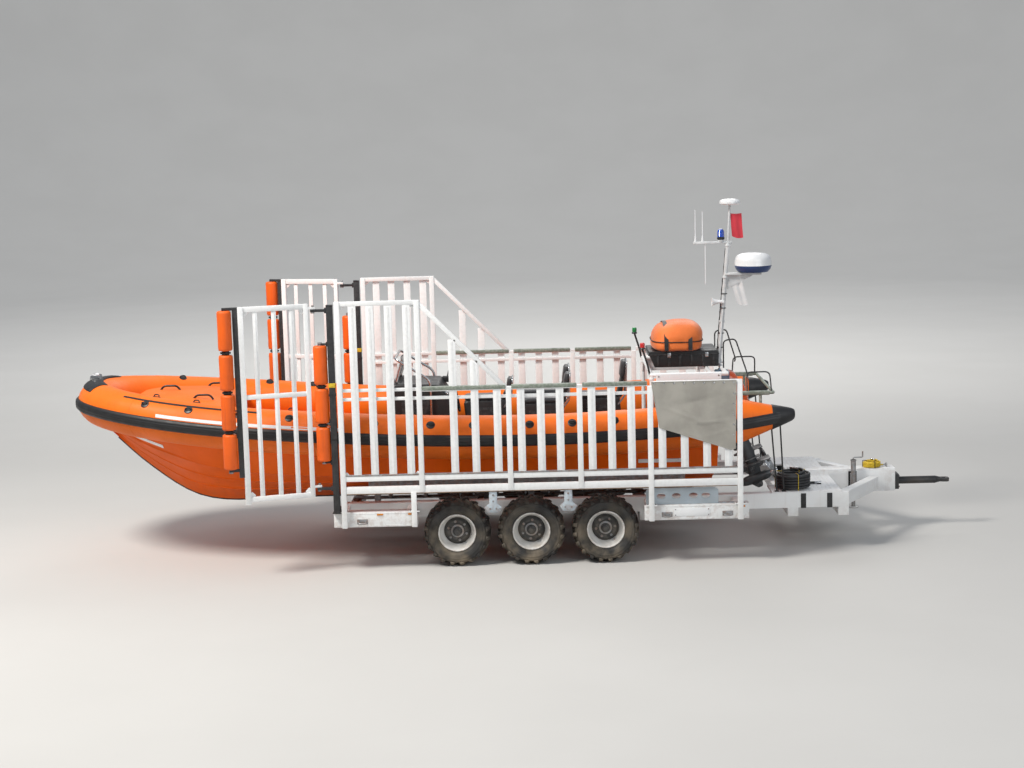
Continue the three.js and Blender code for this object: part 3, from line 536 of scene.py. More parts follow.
def weave_group():
    """Crossing threads, as many to the metre as Threads says."""
    def build(nodes, link, source, result):
        axes = nodes.new("ShaderNodeSeparateXYZ")
        link(nodes.new("ShaderNodeTexCoord").outputs["Object"], axes.inputs[0])
        turn = math_node(nodes, link, "MULTIPLY", source.outputs["Threads"], 2 * pi)
        waves = []
        for flat in (math_node(nodes, link, "ADD", axes.outputs["X"], axes.outputs["Y"]), axes.outputs["Z"]):
            waves.append(math_node(nodes, link, "SINE", math_node(nodes, link, "MULTIPLY", flat, turn)))
        link(math_node(nodes, link, "MULTIPLY", *waves), result.inputs["Height"])
    return node_group("Woven threads", [("Threads", 400.0)], ["Height"], build)


def place_group(nodes, group, **values):
    """Node of that group with its values set."""
    node = nodes.new("ShaderNodeGroup")
    node.node_tree = group
    for label, value in values.items():
        node.inputs[label].default_value = value
    return node


def mixed(nodes, link, factor, a, b):
    """Colour mix of a (a colour or socket) towards b (a colour) by factor."""
    node = nodes.new("ShaderNodeMix")
    node.data_type = "RGBA"
    link(factor, node.inputs[0])
    for socket, value in ((node.inputs[6], a), (node.inputs[7], b)):
        if isinstance(value, (tuple, list)):
            socket.default_value = (*value[:3], 1)
        else:
            link(value, socket)
    return node.outputs[2]


def finish(name, colour, roughness, metallic=0.0, coat=0.0, sheen=0.0, tone=(3.0, 0.82), bump=0.0008,
           weave=None, wear=None, splash=None, streak=None, transmission=0.0, specular=0.5):
    """Procedural material. tone is (scale, darkest share of the colour); bump and weave heights are in
    metres, weave being (threads to the metre, height); wear is (scale, amount, colour); splash is
    (low, high, scale, amount, colour); streak is (amount, colour)."""
    if name in bpy.data.materials:
        return bpy.data.materials[name]
    material = bpy.data.materials.new(name)
    material.use_nodes = True
    nodes, link = material.node_tree.nodes, material.node_tree.links.new
    shader = nodes["Principled BSDF"]
    for label, value in (("Metallic", metallic), ("Coat Weight", coat), ("Coat Roughness", 0.12),
                         ("Sheen Weight", sheen), ("Specular IOR Level", specular),
                         ("Transmission Weight", transmission)):
        shader.inputs[label].default_value = value
    uneven = place_group(nodes, tone_group(), Scale=tone[0])
    dark = [c * tone[1] for c in colour[:3]]
    base = mixed(nodes, link, uneven.outputs["Tone"], dark, list(colour[:3]))
    rough = nodes.new("ShaderNodeMapRange")
    link(uneven.outputs["Tone"], rough.inputs["Value"])
    spread = 0.12
    rough.inputs["To Min"].default_value = min(1.0, roughness + spread)
    rough.inputs["To Max"].default_value = max(0.02, roughness - spread / 2)
    link(rough.outputs["Result"], shader.inputs["Roughness"])
    if streak:
        runs = place_group(nodes, streak_group(), Amount=streak[0])
        base = mixed(nodes, link, runs.outputs["Mask"], base, streak[1])
    if splash:
        low, high, scale, amount, mud = splash
        dried = place_group(nodes, splash_group(), Low=low, High=high, Scale=scale, Amount=amount)
        base = mixed(nodes, link, dried.outputs["Mask"], base, mud)
    if wear:
        rubbed = place_group(nodes, wear_group(), Scale=wear[0], Amount=wear[1])
        base = mixed(nodes, link, rubbed.outputs["Mask"], base, wear[2])
    link(base, shader.inputs["Base Color"])
    height = uneven.outputs["Height"]
    depth = bump
    if weave:
        threads = place_group(nodes, weave_group(), Threads=weave[0])
        height = math_node(nodes, link, "ADD", height, threads.outputs["Height"])
        depth = weave[1]
    relief = nodes.new("ShaderNodeBump")
    relief.inputs["Strength"].default_value = 0.6
    relief.inputs["Distance"].default_value = depth
    link(height, relief.inputs["Height"])
    link(relief.outputs["Normal"], shader.inputs["Normal"])
    return material


MUD = (0.33, 0.25, 0.16)
RUST = (0.28, 0.13, 0.06)


FINISHES = {
    "floor": ("studio floor", "floor", 0.85, dict(tone=(0.4, 0.97), bump=0.0)),
    "hull": (
        "hull gelcoat", "hull_orange", 0.48,
        dict(coat=0.03, tone=(1.6, 0.86), bump=0.0004, specular=0.2, splash=(0.5, 0.95, 7.0, 0.2, MUD),
             streak=(0.18, (0.5, 0.07, 0.01)))),
    "tube": (
        "coated tube cloth", "tube_orange", 0.46,
        dict(tone=(1.8, 0.84), weave=(500, 0.0003), specular=0.3, streak=(0.2, (0.55, 0.09, 0.01)))),
    "rubber": (
        "black rubber", (0.012, 0.0125, 0.014), 0.46,
        dict(tone=(6.0, 0.6), bump=0.0006, wear=(18.0, 0.3, (0.06, 0.06, 0.062)))),
    "non_slip": ("non-slip deck", (0.2, 0.22, 0.23), 0.75, dict(tone=(9.0, 0.7), bump=0.0025)),
    "moulding": (
        "black moulding", (0.016, 0.0165, 0.018), 0.42,
        dict(tone=(8.0, 0.6), bump=0.0008, wear=(24.0, 0.35, (0.1, 0.1, 0.1)))),
    "vinyl": ("seat vinyl", (0.035, 0.036, 0.04), 0.38, dict(sheen=0.15, tone=(5.0, 0.6), bump=0.0015)),
    "alloy": (
        "white painted alloy", "alloy_white", 0.36,
        dict(coat=0.15, tone=(2.2, 0.94), bump=0.0005, wear=(26.0, 0.2, (0.6, 0.6, 0.58)),
             splash=(0.5, 1.2, 6.0, 0.1, MUD), streak=(0.07, (0.56, 0.54, 0.49)))),
    "capping": (
        "grey-green capping", "capping", 0.5,
        dict(tone=(5.0, 0.75), wear=(30.0, 0.6, (0.55, 0.56, 0.52)))),
    "bag": ("bag cloth", "bag_orange", 0.6, dict(sheen=0.25, tone=(3.0, 0.8), weave=(320, 0.0006))),
    "mast": (
        "pale painted mast", (0.66, 0.68, 0.69), 0.42,
        dict(tone=(6.0, 0.75), wear=(30.0, 0.6, (0.6, 0.6, 0.6)))),
    "dome": ("white dome", (0.8, 0.81, 0.82), 0.25, dict(coat=0.5, tone=(4.0, 0.92), bump=0.0003)),
    # blue pan under the radar dome: painted shade of the dome's underside
    "deep_blue": ("deep blue moulding", (0.02, 0.05, 0.16), 0.35, dict(tone=(6.0, 0.7))),
    "blue_lens": ("blue lens", (0.02, 0.12, 0.75), 0.12, dict(coat=0.8, tone=(20.0, 0.6), transmission=0.35)),
    "flag_red": ("red flag cloth", (0.6, 0.03, 0.05), 0.7, dict(sheen=0.3, weave=(700, 0.0003))),
    "flag_white": ("white flag cloth", (0.78, 0.78, 0.78), 0.7, dict(sheen=0.3, weave=(700, 0.0003))),
    "canvas": (
        "grey canvas", "canvas", 0.8,
        dict(sheen=0.1, tone=(4.0, 0.78), weave=(260, 0.0009), streak=(0.22, (0.36, 0.35, 0.31)))),
    "steel": (
        "white painted steel", "steel_white", 0.42,
        dict(tone=(2.0, 0.85), bump=0.0008, wear=(22.0, 0.25, RUST), splash=(0.3, 0.85, 8.0, 0.18, MUD),
             streak=(0.09, (0.42, 0.33, 0.25)))),
    "pale_steel": (
        "pale blue steel", (0.5, 0.58, 0.64), 0.45,
        dict(tone=(4.0, 0.8), wear=(24.0, 0.7, RUST), splash=(0.3, 0.95, 8.0, 0.45, MUD))),
    "dark_steel": (
        "dark painted steel", (0.024, 0.025, 0.027), 0.45,
        dict(tone=(5.0, 0.65), wear=(26.0, 0.2, (0.1, 0.1, 0.1)), splash=(0.3, 0.8, 8.0, 0.2, MUD))),
    "galvanised": (
        "galvanised steel", (0.36, 0.37, 0.38), 0.48,
        dict(metallic=0.55, tone=(14.0, 0.7), splash=(0.2, 0.75, 9.0, 0.55, MUD),
             wear=(24.0, 0.5, RUST))),
    "stainless": ("stainless steel", (0.55, 0.56, 0.57), 0.22, dict(metallic=1.0, tone=(9.0, 0.85))),
    "roller": (
        "roller foam", "roller_orange", 0.5,
        dict(tone=(4.0, 0.84), bump=0.0012, streak=(0.3, (0.35, 0.06, 0.01)))),
    "hose": ("hose rubber", (0.03, 0.031, 0.033), 0.5, dict(tone=(10.0, 0.6), bump=0.0006)),
    "yellow": ("yellow line", (0.75, 0.52, 0.03), 0.65, dict(tone=(30.0, 0.7), bump=0.001)),
    "cowl": ("cowl paint", "cowl_orange", 0.2, dict(coat=0.7, tone=(2.0, 0.88), bump=0.0002)),
    "casting": (
        "dark leg casting", (0.07, 0.075, 0.08), 0.38,
        dict(metallic=0.3, tone=(6.0, 0.7), wear=(24.0, 0.6, (0.4, 0.4, 0.4)))),
    "propeller": ("polished propeller", (0.6, 0.61, 0.62), 0.2, dict(metallic=1.0, tone=(12.0, 0.85))),
    "tyre": (
        "tyre rubber", (0.028, 0.027, 0.026), 0.7,
        dict(tone=(8.0, 0.6), bump=0.0015, splash=(-0.6, 1.1, 5.0, 0.8, (0.36, 0.29, 0.2)))),
    "rim": (
        "white wheel paint", (0.82, 0.81, 0.78), 0.38,
        dict(coat=0.2, tone=(5.0, 0.8), wear=(24.0, 0.7, RUST), splash=(0.0, 0.65, 9.0, 0.5, MUD))),
    # dark paint of the wheel disc and hub drum: painted shade for the deep dish, with real wear and mud on it
    "wheel_disc": (
        "dark wheel paint", (0.05, 0.05, 0.05), 0.5,
        dict(tone=(7.0, 0.6), wear=(20.0, 0.4, (0.2, 0.18, 0.15)), splash=(0.0, 0.6, 9.0, 0.4, MUD))),
    # brown strip under the cage's lower rail: painted shadow of the rail
    "rail_shadow_brown": ("brown rubbing strip", (0.22, 0.14, 0.08), 0.7, dict(tone=(12.0, 0.6), bump=0.001)),
    "amber": ("amber reflector", (0.7, 0.25, 0.02), 0.15, dict(coat=0.6, tone=(30.0, 0.7))),
    "green": ("green lens", (0.01, 0.25, 0.06), 0.2, dict(coat=0.5, tone=(8.0, 0.8))),
    "slate": ("blue-grey moulding", (0.12, 0.19, 0.27), 0.4, dict(tone=(6.0, 0.75))),
    "red": ("red moulding", (0.55, 0.02, 0.02), 0.35, dict(coat=0.3, tone=(8.0, 0.8))),
    "clear_dark": ("tinted screen", (0.03, 0.035, 0.04), 0.08, dict(coat=0.5, tone=(4.0, 0.7), bump=0.0001)),
}


def finishes(key):
    """The finish of that key in the table above, in the colours that the sidebar holds."""
    name, tint, roughness, more = FINISHES[key]
    if isinstance(tint, str):
        tint = getattr(bpy.context.scene.boat_colours, tint)
    return finish(name, tint, roughness, **more)


# Lines of the boat

def sheer(x):
    """Height of the tube's centre line."""
    if x > SHEER_LOW_X:
        return SHEER_LOW_Z + SHEER_STERN_RISE * ((x - SHEER_LOW_X) / (CONE_X - SHEER_LOW_X)) ** 2
    return SHEER_LOW_Z + SHEER_BOW_RISE * ((SHEER_LOW_X - x) / (SHEER_LOW_X - NOSE_X)) ** 1.8


def tube_half(x):
    """Half-breadth of the tube's centre line."""
    if x >= BEND_X:
        return TUBE_Y
    return TUBE_Y * sqrt(max(0.0, 1 - ((x - BEND_X) / (NOSE_X - BEND_X)) ** 2))


def tube_stations(first, last=None, both=False):
    """Stations (centre, outward, radius) along the port tube from x first forward to last, or on
    round the nose and back down the starboard tube."""
    count = max(2, round((first - BEND_X) / 0.16)) if first > BEND_X else 0
    places = [first + (BEND_X - first) * i / count for i in range(count)] if count else []
    half = [(x, -TUBE_Y, (0.0, -1.0)) for x in places]
    for i in range(19):
        turn = pi / 2 * i / 18
        x = BEND_X + (NOSE_X - BEND_X) * sin(turn)
        if x > first:
            continue
        out = Vector((-TUBE_Y * sin(turn), -(BEND_X - NOSE_X) * cos(turn))).normalized()
        half.append((x, -TUBE_Y * cos(turn), (out.x, out.y)))
    if last is not None:
        half = [s for s in half if s[0] >= last]
    if both:
        half += [(x, -y, (out[0], -out[1])) for x, y, out in reversed(half[:-1])]
    stations = []
    for x, y, out in half:
        taper = max(0.0, (x - CONE_X) / (CONE_END_X - CONE_X))
        stations.append((Vector((x, y, sheer(x))), Vector((*out, 0)), TUBE_R + (CONE_TIP_R - TUBE_R) * taper))
    return stations


def on_tube(station, angle, extra):
    """Point on the tube's skin, extra outside it, at an angle up from outboard."""
    centre, out, radius = station
    reach = radius + extra
    return centre + out * reach * cos(radians(angle)) + Vector((0, 0, reach * sin(radians(angle))))


def swept(name, stations, section, angle=35):
    """Closed section of (angle, extra radius) pairs carried along the tube's stations. Angles are
    for the full tube; a section that isn't a ring keeps its width on the thinner cones."""
    last = len(stations) - 1
    ring = [*section, section[0]]
    is_ring = max(angle for angle, _ in section) > 180

    def point(u, w):
        station = stations[round(u * last)]
        turn, extra = ring[round(w * (len(ring) - 1))]
        return on_tube(station, turn if is_ring else turn * TUBE_R / station[2], extra)
    return smoothed(surface(name, last, len(section), point), angle)


def strip_on_tube(name, first, last, low, high, extra):
    """Thin band of cloth glued on the tube between two angles."""
    steps = 5
    section = [(low + (high - low) * i / steps, extra) for i in range(steps + 1)]
    section += [(high - (high - low) * i / steps, -0.002) for i in range(steps + 1)]
    return swept(name, tube_stations(first, last), section)


HULL_LINES = (
    # x, keel height, chine half-breadth, chine height, height at the tube
    (-4.85, 1.44, 0.04, 1.52, 1.64),
    (-4.43, 1.04, 0.33, 1.33, 1.58),
    (-3.914, 0.67, 0.62, 1.18, 1.52),
    (-3.5, 0.556, 0.78, 1.09, 1.47),
    (-2.9, 0.56, 0.9, 1.02, 1.4),
    (STRAIGHT_X, 0.568, 0.95, 0.975, 1.3),
    (TRANSOM_X, 0.6, 0.95, 0.985, 1.3),
)


def hull_lines(x):
    """Keel height, chine half-breadth, chine height and edge height at x, on smooth curves."""
    rows = HULL_LINES
    i = max(0, min(len(rows) - 2, sum(1 for row in rows if row[0] <= x) - 1))
    a, b = rows[i], rows[i + 1]
    before, after = rows[max(0, i - 1)], rows[min(len(rows) - 1, i + 2)]
    t = (x - a[0]) / (b[0] - a[0])
    found = []
    for k in range(1, 5):
        slope_a = (b[k] - before[k]) / (b[0] - before[0]) * (b[0] - a[0])
        slope_b = (after[k] - a[k]) / (after[0] - a[0]) * (b[0] - a[0])
        if a[0] >= STRAIGHT_X:
            slope_a = slope_b = b[k] - a[k]
        h = (2 * t ** 3 - 3 * t ** 2 + 1, t ** 3 - 2 * t ** 2 + t, 3 * t ** 2 - 2 * t ** 3, t ** 3 - t ** 2)
        found.append(h[0] * a[k] + h[1] * slope_a + h[2] * b[k] + h[3] * slope_b)
    return found


def hull_half_section(x):
    """Points (y, z) of the starboard half from keel to edge, with two spray rails and a chine flat."""
    keel, chine_y, chine_z, top_z = hull_lines(x)
    top_y = max(0.06, tube_half(x) - 0.02)
    fade = min(1.0, max(0.0, (x + 4.6) / 0.8)) * min(1.0, max(0.0, (2.3 - x) / 0.3))
    section = [(0.0, keel), (min(0.02, chine_y / 3), keel)]
    for part in (0.36, 0.68):
        y, z = chine_y * part, keel + (chine_z - keel) * part
        section += [(y - 0.03, z - 0.016), (y + 0.006 * fade, z - 0.011 * fade),
                    (y + 0.008 * fade, z + 0.004)]
    section += [(chine_y - 0.04 * fade - 0.002, chine_z - 0.014), (chine_y, chine_z - 0.004),
                (chine_y + 0.004, chine_z + 0.02)]
    for t in (0.35, 0.7):
        bulge = 0.012 * sin(pi * t)
        section.append((chine_y + (top_y - chine_y) * t, chine_z + (top_z - chine_z) * t + bulge))
    return section + [(top_y, top_z)]


def hull_side(x, z):
    """Half-breadth of the hull's side at that height, between the chine and the tube."""
    side = hull_half_section(x)[-4:]
    for (y0, z0), (y1, z1) in zip(side, side[1:]):
        if z <= z1:
            break
    return y0 + (y1 - y0) * min(1.0, max(0.0, (z - z0) / (z1 - z0)))


# Values that a user would change

def colour(name, description, default):
    """Colour property of the sidebar."""
    return FloatVectorProperty(name=name, description=description, subtype="COLOR", size=3, min=0, max=1,
                               default=default)


class BoatColours(bpy.types.PropertyGroup):
    """Colours of the boat and its carriage."""
    hull_orange: colour("Hull orange", "Gelcoat of the hull", (0.88, 0.13, 0.002))
    tube_orange: colour("Tube orange", "Coated cloth of the inflatable tubes", (0.87, 0.165, 0.008))
    bag_orange: colour("Bag orange", "Cloth of the folded righting bag", (0.9, 0.2, 0.03))
    cowl_orange: colour("Cowl orange", "Paint of the outboard cowls", (0.86, 0.1, 0.003))
    roller_orange: colour("Roller orange", "Sleeves of the guide rollers", (0.84, 0.12, 0.002))
    alloy_white: colour("Alloy white", "Painted alloy of cages, gates and gantry", (0.86, 0.87, 0.87))
    steel_white: colour("Steel white", "Painted steel of the chassis", (0.84, 0.85, 0.85))
    capping: colour("Capping", "Grey-green hand rails", (0.2, 0.235, 0.19))
    canvas: colour("Canvas", "Canvas screen beside the outboards", (0.42, 0.4, 0.355))
    floor: colour("Floor", "Studio floor", (0.54, 0.53, 0.51))


class BoatSizes(bpy.types.PropertyGroup):
    """Sizes of the pieces that have no solid of their own."""
    tread_lugs: IntProperty(name="Tread lugs", description="Lugs on each half of a tyre's tread", default=20,
                            min=8)
    hose_diameter: FloatProperty(name="Hose diameter", description="Outside of the coiled hose", default=0.03,
                                 unit="LENGTH")
    line_diameter: FloatProperty(name="Line diameter", description="Thickness of the coiled line",
                                 default=0.014, unit="LENGTH")
    patch_pitch: FloatProperty(name="Patch pitch", description="Distance between grab patches on the tubes",
                               default=0.54, unit="LENGTH")
    edge_radius: FloatProperty(name="Edge radius", description="Rounding of the alloy bars", default=0.004,
                               unit="LENGTH")


# Operators

class RESCUE_OT_stage(bpy.types.Operator):
    """Pale floor, soft studio lights and the camera at the photograph's angle"""
    bl_idname = "rescue.stage"
    bl_label = "Stage"

    def execute(self, context):
        level, reach, rise = 0.3, 36, 26

        def bowl(u, w):
            """Level floor that turns up into a low backdrop all round, without a seam."""
            turn = radians(80) * max(0.0, (u - level) / (1 - level))
            radius = reach * min(1.0, u / level) + rise * sin(turn)
            return Vector((radius * cos(2 * pi * w), radius * sin(2 * pi * w),
                           rise * (1 - cos(turn)) - 0.002))
        floor = smoothed(surface("studio_floor", 40, 96, bowl, caps=False), 60)
        painted(floor, "floor")
        world = bpy.data.worlds.new("studio")
        world.use_nodes = True
        background = world.node_tree.nodes["Background"]
        background.inputs["Color"].default_value = (0.8, 0.86, 0.95, 1)
        background.inputs["Strength"].default_value = 0.5
        context.scene.world = world
        context.scene.view_settings.view_transform = "Standard"
        # columns: name, place, what it points at, size, power, colour
        lamps = (
            ("key", (-9, -7, 15), (0, 0, 1.2), 5, 3300, (1.0, 0.96, 0.9)),
            ("fill", (11, -16, 8), (0, 0, 1.2), 12, 780, (0.96, 0.98, 1.0)),
            ("back", (2, 15, 13), (0, 0, 1.2), 10, 900, (1.0, 0.98, 0.95)),
            ("wash", (0, 14, 24), (0, 48, 12), 24, 7500, (1.0, 0.99, 0.97)),
        )
        for name, place, target, size, power, tint in lamps:
            light = bpy.data.lights.new(name, "AREA")
            light.shape, light.size, light.energy, light.color = "DISK", size, power, tint
            lamp = added(name, light)
            lamp.location = place
            lamp.rotation_euler = (Vector(target) - Vector(place)).to_track_quat("-Z", "Y").to_euler()
        lens = bpy.data.cameras.new("camera")
        lens.lens, lens.sensor_width = 64, 36
        lens.clip_end = 300
        # place, aim and roll of the camera that was fitted to the photograph
        camera = added("camera", lens)
        camera.location = (0.281, -21.586, 4.932)
        look = (Vector((0.0, 0.0, 1.86)) - camera.location).to_track_quat("-Z", "Y")
        camera.rotation_euler = (look.to_matrix() @ Matrix.Rotation(radians(-1.53), 3, "Z")).to_euler()
        context.scene.camera = camera
        return {"FINISHED"}


def wound(centre, base, outer, pitch, columns, layers, lead):
    """Centre line of a cord that runs in along -X, winds up and down in columns and ends on top."""
    x0, y0 = centre
    step = 24
    points = [Vector((x0 + lead * (1 - i / 10), y0 + outer, base)) for i in range(10)]
    turn = 0

    def wind(radius, height):
        """Adds the next point, a step further round."""
        nonlocal turn
        angle = radians(90) + 2 * pi * turn / step
        points.append(Vector((x0 + radius * cos(angle), y0 + radius * sin(angle), height)))
        turn += 1

    def eased_part(t):
        return t * t * (3 - 2 * t)

    for column in range(columns):
        radius = outer - column * pitch
        rising = column % 2 == 0
        for i in range(layers * step):
            part = i / step
            wind(radius, base + pitch * (part if rising else layers - part))
        if column + 1 < columns:
            for i in range(5):
                wind(radius - pitch * eased_part(i / 5), base + (pitch * layers if rising else 0))
    for i in range(13):
        wind(radius, base + pitch * layers + pitch * 1.05 * eased_part(i / 12))
    return points


def path_length(points):
    """Length of the line through the points."""
    return sum((b - a).length for a, b in zip(points, points[1:]))


class RESCUE_OT_cords(bpy.types.Operator):
    """Hose coiled on the deck plate and line coiled on the carriage's neck"""
    bl_idname = "rescue.cords"
    bl_label = "Hose and line"

    def execute(self, context):
        sizes = context.scene.boat_sizes
        hose, line = sizes.hose_diameter, sizes.line_diameter
        # columns: name, node, diameter, centre, rest height, outer radius, columns, layers, lead, finish
        coils = (
            ("deck_hose", "hose_coil", hose, HOSE_PLACE, DECK_TOP + 0.001, 0.189, 3, 5, 0.31, "hose"),
            ("neck_line", "strap_coil", line, (4.3, 0.0), 0.746, 0.1, 3, 4, 0.17, "yellow"),
        )
        for name, node, thick, centre, rest, outer, columns, layers, lead, look in coils:
            pitch = thick * 1.04
            path = wound(centre, rest + thick / 2, outer, pitch, columns, layers, lead)
            cord = painted(pipe(name, path, thick / 2, 4), look)
            start, end = path[0], path[-1]
            on = (end - path[-2]).normalized() * thick
            out = Vector((thick, 0, 0))
            grip = thick * 0.62
            parts = [(end - on, end + on * 1.2, grip), (end + on * 1.2, end + on * 3, grip * 0.8)]
            collar = painted(rods(f"{name}_end", parts, 16, 0.001), "stainless")
            parts = [(start - out, start + out * 1.6, grip)]
            socket = painted(rods(f"{name}_socket", parts, 16, 0.001), "stainless")
            inner = outer - (columns - 1) * pitch - thick / 2
            lid = rest + pitch * layers + thick
            ties = []
            for i in range(3):
                turn = Matrix.Translation((*centre, 0)) @ Matrix.Rotation(0.7 + 2 * pi * i / 3, 4, "Z")
                edge = outer + thick / 2
                loop = bent([(edge + 0.003, 0, rest), (edge + 0.003, 0, lid + 0.003),
                             (inner - 0.003, 0, lid + 0.003), (inner - 0.003, 0, rest)], 0.012, 4)
                ties.append(pipe("tie", [turn @ point for point in loop], 0.004, 3))
            ties = painted(joined(f"{name}_ties", *ties), "yellow" if look == "hose" else "rubber")
            put(ties, "hose_black")
            foot = painted(bars("foot", [((start.x, start.y - thick, rest - 0.0005),
                                          (start.x + thick * 1.5, start.y + thick, start.z))], 0.002),
                           "dark_steel")
            socket = joined(f"{name}_socket", socket, foot)
            put(cord, "hose_black", node)
            put(collar, "hose_black")
            put(socket, "dark_steel")
            tuple(start)
            round(path_length(path), 3)
            [tuple(p) for p in path]
        return {"FINISHED"}


class RESCUE_OT_hull(bpy.types.Operator):
    """Deep-V hull with spray rails, keel band and the bare white bar on each bow"""
    bl_idname = "rescue.hull"
    bl_label = "Hull"

    def execute(self, context):
        first, last = HULL_LINES[0][0], TRANSOM_X

        def point(u, w):
            x = first + (last - first) * u ** 1.25
            section = hull_half_section(x)
            lid = (0.0, section[-1][1])
            ring = [lid, *[(-y, z) for y, z in reversed(section[1:])], *section, lid]
            y, z = ring[round(w * (len(ring) - 1))]
            return Vector((x, y, z))
        around = 2 * len(hull_half_section(0.0))
        hull = painted(smoothed(surface("hull_shell", 64, around, point), 28), "hull")
        put(hull, "hull_orange", "hull")
        places = [first + 0.1 + (last - first - 0.12) * (i / 40) ** 1.25 for i in range(41)]
        band = [Vector((x, 0, hull_lines(x)[0] - 0.004)) for x in places]
        keel = painted(pipe("keel_band", band, 0.016, 4), "rubber")
        put(keel, "hull_orange")

        # columns: name, fore end, aft end, lower edge at each, height
        for name, x0, x1, z0, z1, tall in (("bow_bar", -4.64, -4.1, 1.44, 1.285, 0.046),
                                           ("hull_mark", 1.44, 1.93, 1.05, 1.05, 0.045)):
            def mark_point(u, w, x0=x0, x1=x1, z0=z0, z1=z1, tall=tall):
                x = x0 + (x1 - x0) * u
                z = z0 + (z1 - z0) * u + tall * w
                return Vector((x, -hull_side(x, z) - 0.004, z))
            mark = surface(name, 24, 3, mark_point, caps=False)
            thickened(mark, 0.006)
            on_both_sides(painted(smoothed(mark), "dome"), name, "hull_orange")
        return {"FINISHED"}


class RESCUE_OT_tubes(bpy.types.Operator):
    """Inflatable tubes with seam bands, strake, nose pad, grab patches and end cones"""
    bl_idname = "rescue.tubes"
    bl_label = "Tubes"

    def execute(self, context):
        whole = tube_stations(3.12, both=True)
        sides = 40
        skin = swept("tube_skin", whole, [(360 * i / sides, 0) for i in range(sides)], 50)
        put(painted(skin, "tube"), "tube_orange", "tube_collar")
        half = [(15, -0.002), (15, 0.004), (14, 0.011), (12.5, 0.017), (10.5, 0.0225), (8, 0.027),
                (5.5, 0.0295), (4.6, 0.0275), (3.6, 0.0275), (2.7, 0.0305), (0, 0.031)]
        flat = half + [(-angle, extra) for angle, extra in reversed(half[:-1])]
        strake = swept("strake", tube_stations(STRAKE_END_X, both=True), flat, 40)
        put(painted(strake, "rubber"), "black_rubber", "rubbing_strake")
        self.nose_pad()
        bands = []
        for x in (-4.35, -3.5, -2.4, -1.2, 0.0, 1.2, 2.3):
            near = tube_stations(x + 0.03, x - 0.03)
            if len(near) < 2:
                near = tube_stations(x + 0.1, x - 0.1)
            ring = [(360 * i / 32, 0.0022) for i in range(32)]
            bands.append(painted(swept("seam", near[:2], ring, 50), "tube"))
        on_both_sides(joined("seam_bands", *bands), "seam_bands", "tube_orange")
        line = strip_on_tube("white_line", -1.9, -4.05, 17.5, 26, 0.0016)
        on_both_sides(painted(line, "dome"), "white_line", "tube_orange")
        webbing = strip_on_tube("deck_webbing", -2.7, -4.45, 60, 66, 0.005)
        on_both_sides(painted(webbing, "rubber"), "deck_webbing", "black_rubber")
        self.patches(context.scene.boat_sizes.patch_pitch)
        self.cones()
        return {"FINISHED"}

    def nose_pad(self):
        """Pad over the nose, thinner towards its ends, and the fairlead on it."""
        stations = [s for s in tube_stations(-4.5, both=True) if s[0].x < NOSE_X + 0.165]
        middle = (len(stations) - 1) / 2
        section = [(47, 0.01), (52, 0.017), (60, 0.019), (75, 0.019), (90, 0.018), (102, 0.014),
                   (104, -0.004), (75, -0.004), (47, -0.004)]
        last = len(stations) - 1
        ring = [*section, section[0]]

        def point(u, w):
            i = round(u * last)
            edge = 1 - max(0.0, abs(i - middle) / middle - 0.8) * 3
            angle, extra = ring[round(w * (len(ring) - 1))]
            return on_tube(stations[i], angle, extra * (edge if extra > 0 else 1))
        pad = smoothed(surface("nose_pad_skin", last, len(section), point), 50)
        put(painted(pad, "rubber"), "black_rubber", "nose_pad")
        spot = on_tube(stations[round(middle)], 76, 0.019)
        x, z = spot.x + 0.02, spot.z
        cheek = [(x - 0.06, z - 0.012), (x + 0.07, z - 0.002), (x + 0.055, z + 0.045), (x - 0.04, z + 0.05)]
        cheeks = [plate("cheek", cheek, y - 0.005, y + 0.005, 0.003) for y in (-0.07, 0.07)]
        base = bars("base", [((x - 0.05, -0.074, z - 0.006), (x + 0.07, 0.074, z + 0.006))], 0.003)
        drum = turned("drum", [(0, -0.066), (0.03, -0.066), (0.026, -0.04), (0.023, 0), (0.026, 0.04),
                               (0.03, 0.066), (0, 0.066)], along_y(x, 0, z + 0.03), 28)
        fairlead = joined("bow_fairlead", painted(joined("fairlead", base, *cheeks), "stainless"),
                          painted(drum, "dome"))
        put(fairlead, "grey_steel")

    def patches(self, pitch):
        """Grab loops on round patches, one row along the tubes and two round the bow."""
        disc = [(0, -0.006), (0.05, -0.006), (0.05, 0.001), (0.044, 0.004), (0, 0.005)]
        loop = bent([(-0.035, 0, 0), (-0.03, 0, 0.03), (0.03, 0, 0.03), (0.035, 0, 0)], 0.02)
        master = joined("patch", turned("disc", disc, upright(0, 0, 0), 20), pipe("loop", loop, 0.007, 3))
        painted(master, "rubber")
        made = []
        x = 2.3
        while x > -4.5:
            near = min(tube_stations(2.6), key=lambda s: abs(s[0].x - x))
            for angle in ((43,) if x > -2.2 else (50, 108)):
                spot = on_tube(near, angle, 0.0)
                up = (spot - near[0]).normalized()
                run = Vector((0, 0, 1)).cross(near[1]).normalized()
                frame_of = Matrix((run, up.cross(run), up)).transposed().to_4x4()
                made.append(copied(master, "patch", Matrix.Translation(spot) @ frame_of))
            x -= pitch
        discard(master)
        on_both_sides(joined("grab_patches", *made), "grab_patches", "black_rubber")

    def cones(self):
        # columns: x, extra radius
        rows = ((2.95, -0.004), (2.95, 0.003), (2.957, 0.0065), (3.04, 0.008), (3.12, 0.008), (3.18, 0.006),
                (3.205, -0.002), (3.214, -0.016), (CONE_END_X, -0.034))
        last = len(rows) - 1

        def point(u, w):
            x, extra = rows[round(u * last)]
            return on_tube(tube_stations(x)[0], 360 * w, extra)
        cone = painted(smoothed(surface("end_cone", last, 36, point), 50), "rubber")
        on_both_sides(cone, "end_cone", "black_rubber", "tube_collar")


